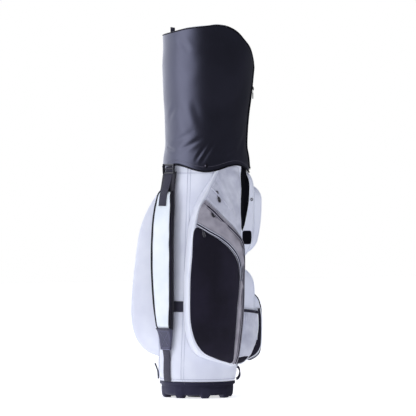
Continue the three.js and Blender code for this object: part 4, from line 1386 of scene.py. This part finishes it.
def make_pad():
    zs = levels(239, 718, 170)
    steps = 36
    sections = []
    for z in zs:
        half = pad_half(z)
        ring = [strap_at(z, half * x, pad_face(z, x)) for x in levels(-1, 1, steps + 1)]
        bulge = half + 0.8
        middle = mix(PAD_LOW, pad_face(z, 1), 0.55)
        side = [(bulge, middle), (half, PAD_LOW), (-half, PAD_LOW), (-bulge, middle)]
        ring += [strap_at(z, x, lift) for x, lift in side]
        sections.append(ring)
    verts, faces = sweep(sections, False)
    pad = make("strap_white_pad", verts, faces, [STRAP, BLACK], "shoulder_strap", replaces=["strap_pad"],
               slot="white_fabric")
    count = len(sections[0])
    for polygon in pad.data.polygons:
        across = abs(mix(-1, 1, (polygon.index % count + 0.5) / steps))
        polygon.material_index = 1 if across > PAD_FACE else 0
    for side, name in ((-1, "right"), (1, "left")):
        path = [strap_at(z, side * (pad_half(z) + 0.6), pad_face(z, 1) + 0.2) for z in zs]
        tube(f"strap_piping_{name}", path, 2.6, PIPE_DARK, "shoulder_strap", sides=10, slot="black_fabric")
        path = [strap_at(z, side * pad_half(z) * PAD_FACE, pad_face(z, PAD_FACE) + 0.3) for z in zs]
        tube(f"strap_face_edge_{name}", path, 1.6, PIPE_DARK, "shoulder_strap", slot="black_fabric")
        path = [strap_at(z, side * pad_half(z) * 0.78, pad_face(z, 0.78) + 0.1) for z in zs[4:-4]]
        tube(f"strap_seam_{name}", path, 0.5, THREAD, "shoulder_strap", sides=6, slot="white_fabric")
    for name, z in (("low", zs[0]), ("top", zs[-1])):
        path = [strap_at(z, pad_half(z) * x, pad_face(z, x) + 0.2) for x in levels(-1, 1, 13)]
        tube(f"strap_piping_{name}", path, 2.0, PIPE_DARK, "shoulder_strap", slot="black_fabric")


patch_width = smooth([(168, 50), (200, 57), (243, 67)])
patch_thick = smooth([(168, 6), (205, 9), (228, 14), (243, 21)])


def make_patch():
    """Cloth patch over the strap's lower end, sewn with a box and a cross."""
    strap_piece("strap_patch", levels(168, 243, 40), patch_width, lambda z: 2.5, patch_thick, PATCH, 2,
                replaces=["strap_end_patch"], slot="strap_patch")

    def on_patch(z, x):
        return strap_at(z, x * patch_width(z) / 2, 2.7 + patch_thick(z))

    corners = [(-0.78, 176), (0.78, 176), (0.8, 232), (-0.8, 232)]
    lines = [(0, 1), (1, 2), (2, 3), (3, 0), (0, 2), (1, 3)]
    count = 22
    stitches = []
    for a, b in lines:
        (xa, za), (xb, zb) = corners[a], corners[b]
        for k in range(count):
            shares = ((k + 0.15) / count, (k + 0.8) / count)
            ends = [on_patch(mix(za, zb, s), mix(xa, xb, s)) for s in shares]
            stitches.append(tube(f"stitch_{a}_{b}_{k}", ends, 0.6, THREAD_DARK, "shoulder_strap", sides=5))
    piece = join("strap_patch_stitches", stitches)
    for name, z, material in (("top", 240, WEBBING), ("low", 170, THREAD_DARK)):
        hem = [on_patch(z, mix(-0.98, 0.98, k / 10)) for k in range(11)]
        tube(f"strap_patch_hem_{name}", hem, 1.3, material, "shoulder_strap", slot="strap_patch")


def make_strap():
    strap_piece("strap_mesh_backing", levels(238, 786, 130), lambda z: strap_width(z) + 7 * step(690, 725, z),
                lambda z: 0.2, lambda z: BACKING_THICK, MESH, 4,
                replaces=["strap_backing"], slot="black_fabric")
    make_pad()
    make_patch()
    lift = smooth([(667, PAD_TOP + 1.2), (706, PAD_TOP + 1.0), (722, 19), (745, 12), (776, 9), (804, 5)])
    strap_piece("strap_top_band", levels(667, 804, 90), lambda z: TOP_WEBBING, lift, lambda z: 2,
                WEBBING, 0.6,
                ribs=0.3, replaces=["strap_top_webbing"], slot="webbing")
    make_buckle()
    path = []
    for z in levels(RIM_TOP + 1, 184, 60):
        x = mix(-6, strap_x(184), step(120, 184, z))
        tube_y = body_centre(z) + math.sqrt(body_radius(z) ** 2 - x * x) + 0.9
        path.append(Vector((x, mix(tube_y, strap_inner(184) + 5, step(128, 180, z)), z)))
    outs = [Vector((0, run.z, -run.y)).normalized() for run in runs(path)]
    band("strap_lower_band", path, Vector((1, 0, 0)), outs, STRAP_WEBBING, 2, WEBBING, "bag", ribs=0.25,
         replaces=["strap_bottom_webbing"], slot="webbing")


BUCKLE_LOW = 779
BUCKLE_HIGH = 813
BUCKLE_HALF = 22
BUCKLE_MIDDLE = Vector((-13, 131, 0))


def make_buckle():
    """Ladder-lock buckle: two side rails and three bars, with the anchor band behind them."""
    across = strap_across(790)
    out = strap_out(790)

    def at(along, off, z):
        return BUCKLE_MIDDLE + across * along + out * off + Vector((0, 0, z))

    rails = []
    for side in (-1, 1):
        path = []
        for z in levels(BUCKLE_LOW, BUCKLE_HIGH, 14):
            bow = 1.5 * math.sin(math.pi * (z - BUCKLE_LOW) / (BUCKLE_HIGH - BUCKLE_LOW)) - 6
            path.append(at(side * BUCKLE_HALF, bow, z))
        rails.append(band(f"rail_{side}", path, across, out, 4.6, 12, GLOSS, "shoulder_strap", corner=2))
    for z, r, bow in ((782, 3.8, 1.0), (796, 2.6, -2.0), (810, 3.6, 0.5)):
        path = []
        for s in levels(0, 1, 11):
            path.append(at(mix(-BUCKLE_HALF, BUCKLE_HALF, s), bow * math.sin(math.pi * s), z))
        rails.append(tube(f"bar_{z}", path, r, GLOSS, "shoulder_strap", sides=12))
    piece = join("strap_ladder_buckle", rails)
    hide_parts("strap_buckle")
    path = [at(0, mix(-7.2, -14, step(796, 803, z)), z) for z in levels(788, 803, 20)]
    outs = [across.cross(run).normalized() for run in runs(path)]
    if outs[0].dot(out) < 0:
        outs = [-facing for facing in outs]
    band("strap_anchor_band", path, across, outs, TOP_WEBBING - 2, 1.8, WEBBING, "bag", slot="webbing")


def make_bands():
    path, outs = [], []
    for i in range(50):
        a = math.radians(mix(61, 119.5, i / 49))
        path.append(around(318, a, 0.4))
        outs.append(Vector((math.cos(a), math.sin(a), 0)))
    band("keeper_webbing", path, Vector((0, 0, 1)), outs, 37, 1.8, WEBBING, "bag", ribs=0.2,
         replaces=["keeper_band"], slot="webbing")
    side = Vector((-0.438, -0.899, 0))
    path, acrosses, outs = [], [], []
    for i in range(33):
        a = (i / 32 - 0.5) * math.pi
        path.append(side * (138.5 + 10.5 * math.cos(a) ** 0.8) + Vector((0, 0, 83 + 20 * math.sin(a))))
        out = (side * math.cos(a) + Vector((0, 0, math.sin(a)))).normalized()
        across = Vector((-side.y, side.x, 0))
        turn = 0.9 * math.sin(a)
        acrosses.append(across * math.cos(turn) + out * math.sin(turn))
        outs.append(out * math.cos(turn) - across * math.sin(turn))
    band("base_loop_webbing_front", path, acrosses, outs, 11, 3.6, WEBBING, "front_loop", ribs=0.2,
         corner=1.2, replaces=["base_loop_front"], slot="webbing")
    side = Vector((0.695, 0.719, 0))
    tab = [(136.4, 62), (137, 76), (138, 88), (141, 98), (145, 108), (148.5, 117)]
    path = spline([side * r + Vector((0, 0, z)) for r, z in tab], 40)
    outs = [(side * run.z - Vector((0, 0, run.dot(side)))).normalized() for run in runs(path)]
    band("base_loop_webbing_rear", path, Vector((-side.y, side.x, 0)), outs, 10, 4, WEBBING, "rear_loop",
         ribs=0.2, corner=1.4, replaces=["base_loop_rear"], slot="webbing")


# ---- zips -----------------------------------------------------------------------------------
TAPE_WIDTH = 13


def zip_track(name, path, outs, body, tape=GREY, teeth=PLASTIC, edges=None):
    """Zip tape with a chain strip and a row of teeth along it."""
    acrosses = [out.cross(run.normalized()).normalized() for out, run in zip(outs, runs(path))]
    band(name + "_tape", path, acrosses, outs, TAPE_WIDTH, 0.9, tape, body, 0.4, slot="light_grey_fabric")
    band(name + "_chain", path, acrosses, outs, 5.2, 1.5, teeth, body, 0.5, slot="buckle_plastic")
    if edges:
        for side, label in ((-1, "low"), (1, "high")):
            line = [p + a * (side * TAPE_WIDTH / 2) + o * 0.5 for p, a, o in zip(path, acrosses, outs)]
            tube(f"{name}_edge_{label}", line, 0.9, edges, body, sides=6, slot="grey_satin")
    run = [0.0]
    for a, b in zip(path, path[1:]):
        run.append(run[-1] + (b - a).length)
    count = int(run[-1] / 1.7)
    verts, faces = [], []
    k = 0
    for i in range(count):
        want = run[-1] * (i + 0.5) / count
        while run[k + 1] < want:
            k += 1
        t = (want - run[k]) / (run[k + 1] - run[k])
        at = path[k].lerp(path[k + 1], t) + outs[k] * 1.7
        along = (path[k + 1] - path[k]).normalized()
        across, out = acrosses[k], outs[k]
        shift = across * (0.5 if i % 2 else -0.5)
        start = len(verts)
        for sz in (0, 1):
            for sx, sy in ((-1, -1), (1, -1), (1, 1), (-1, 1)):
                grip = 0.5 if sz else 0.66
                reach = 1.9 * (0.8 if sz else 1)
                offset = along * (sx * grip) + across * (sy * reach) + out * (sz * 1.1 - 0.3)
                verts.append(at + shift + offset)
        faces += [tuple(start + q for q in f) for f in (
            (3, 2, 1, 0), (4, 5, 6, 7), (0, 1, 5, 4), (1, 2, 6, 5), (2, 3, 7, 6), (3, 0, 4, 7),
        )]
    make(name + "_teeth", verts, faces, teeth, body, slot="bright_metal", smooth_shade=False)


def face_line(pocket, knots, count, lift):
    flat = flat_spline(knots, count)
    return [pocket.point(p.x, p.y, lift) for p in flat], [pocket.normal(p.x, p.y) for p in flat]


def zip_frames():
    """For each zip: its bodies, the slider's middle, and the directions along, across and out of it."""
    joints = {j["name"]: j for j in frame["joints"]}
    found = []
    for name, j in joints.items():
        if not name.endswith("_travel"):
            continue
        base = name[:-len("_travel")]
        lift = joints[base + "_lift"]
        along = Vector(j["axis"]).normalized()
        across = -Vector(lift["axis"]).normalized()
        out = along.cross(across)
        pivot = Vector(lift["pos_m"]) / MM
        found.append((base, j["child"], lift["child"], pivot - along * 9, along, across, out, pivot))
    return found


# Slider body: place along the zip, width and height.
SLIDER_SECTIONS = (
    (-6.2, 5.0, 1.6), (-5.4, 6.6, 2.4), (-2.5, 8.6, 2.6), (2.5, 9.2, 2.6), (5.0, 8.2, 2.4), (6.0, 6.4, 1.6),
)


def make_sliders():
    for base, slide_body, tab_body, at, along, across, out, pivot in zip_frames():
        metal_look = METAL_DARK if base == "hood_zip" else METAL

        def local(x, y, z):
            return at + along * x + across * y + out * z

        sections = []
        for x, w, h in SLIDER_SECTIONS:
            sections.append([local(x, y, z) for y, z in rounded_section(w, h, 0.7)])
        verts, faces = sweep(sections, False)
        body = make(base + "_slider_body", verts, faces, metal_look, slide_body)
        rises = [0.6 + 2.0 * math.sin(math.pi * s / 12) ** 0.6 for s in range(13)]
        arch = [local(mix(-4, 7.4, s / 12), 0, rise) for s, rise in enumerate(rises)]
        bridge = tube(base + "_bridge", arch, 0.95, metal_look, slide_body, sides=8)
        piece = join(base + "_slider_metal", [body, bridge])
        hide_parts(base + "_slider")
        loop = []
        for k in range(40):
            a = TAU * k / 40
            loop.append(pivot + along * (3.8 + 4.4 * math.cos(a)) + across * (2.6 * math.sin(a)) - out * 0.2)
        link = tube(base + "_link", loop, 0.8, metal_look, tab_body, closed=True, sides=8)
        grip = []
        for k in range(48):
            a = TAU * k / 48
            wide = 4.2 + 0.8 * math.cos(a)
            grip.append(pivot + along * (17 + 9.6 * math.cos(a)) + across * (wide * math.sin(a)) - out * 0.3)
        ring = tube(base + "_grip", grip, 1.7, metal_look, tab_body, closed=True, sides=8)
        middle = [pivot + along * x - out for x in levels(9.5, 25.5, 8)]
        bar = band(base + "_grip_bar", middle, across, out, 4.2, 1.3, metal_look, tab_body)
        piece = join(base + "_pull_metal", [link, ring, bar])
        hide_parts(base + "_pull")


def make_zips(pocket, far_pocket):
    zip_track("satin_zip", *face_line(pocket, SATIN_ZIP, 260, 6.6), "bag", tape=SATIN, edges=SEAM_DARK)
    zip_track("black_panel_zip_track", *face_line(pocket, BLACK_ZIP, 200, 5.6), "bag", edges=SEAM_DARK)
    welt, _ = face_line(pocket, [(47, 730), (22, 697), (0, 672), (-24, 640), (-45, 615)], 80, 5.2)
    tube("upper_zip_welt", welt, 2.6, GREY, "bag", sides=10, slot="light_grey_fabric")
    far = [(104, 600), (98, 560), (108, 480), (116, 400), (116, 300), (104, 230)]
    zip_track("apparel_zip_track", *face_line(far_pocket, far, 200, 0.8), "bag", teeth=METAL)
    top = [
        (-60, 560), (-62, 640), (-58, 700), (-30, 716), (0, 718), (30, 716), (58, 700), (62, 640), (60, 560),
    ]
    zip_track("front_upper_zip_track", *face_line(upper_pocket, top, 200, 0.8), "bag", teeth=METAL)
    ball = [
        (-70, 230), (-68, 300), (-60, 322), (-30, 332), (0, 334), (30, 332), (60, 322), (68, 300), (70, 230),
    ]
    zip_track("ball_zip_track", *face_line(ball_pocket, ball, 200, 0.8), "bag", teeth=METAL)


set_stage()
dress_cad()
make_body()
make_base()
right_pocket = SidePocket(-1)
left_pocket = SidePocket(1)
make_side_pocket(right_pocket, "side_pocket_shell", "side_pocket", sink=2.0)
make_side_pocket(left_pocket, "apparel_pocket_shell", "apparel_pocket")
make_side_panels(right_pocket)
make_front()
make_hood()
make_strap()
make_bands()
make_zips(right_pocket, left_pocket)
make_sliders()
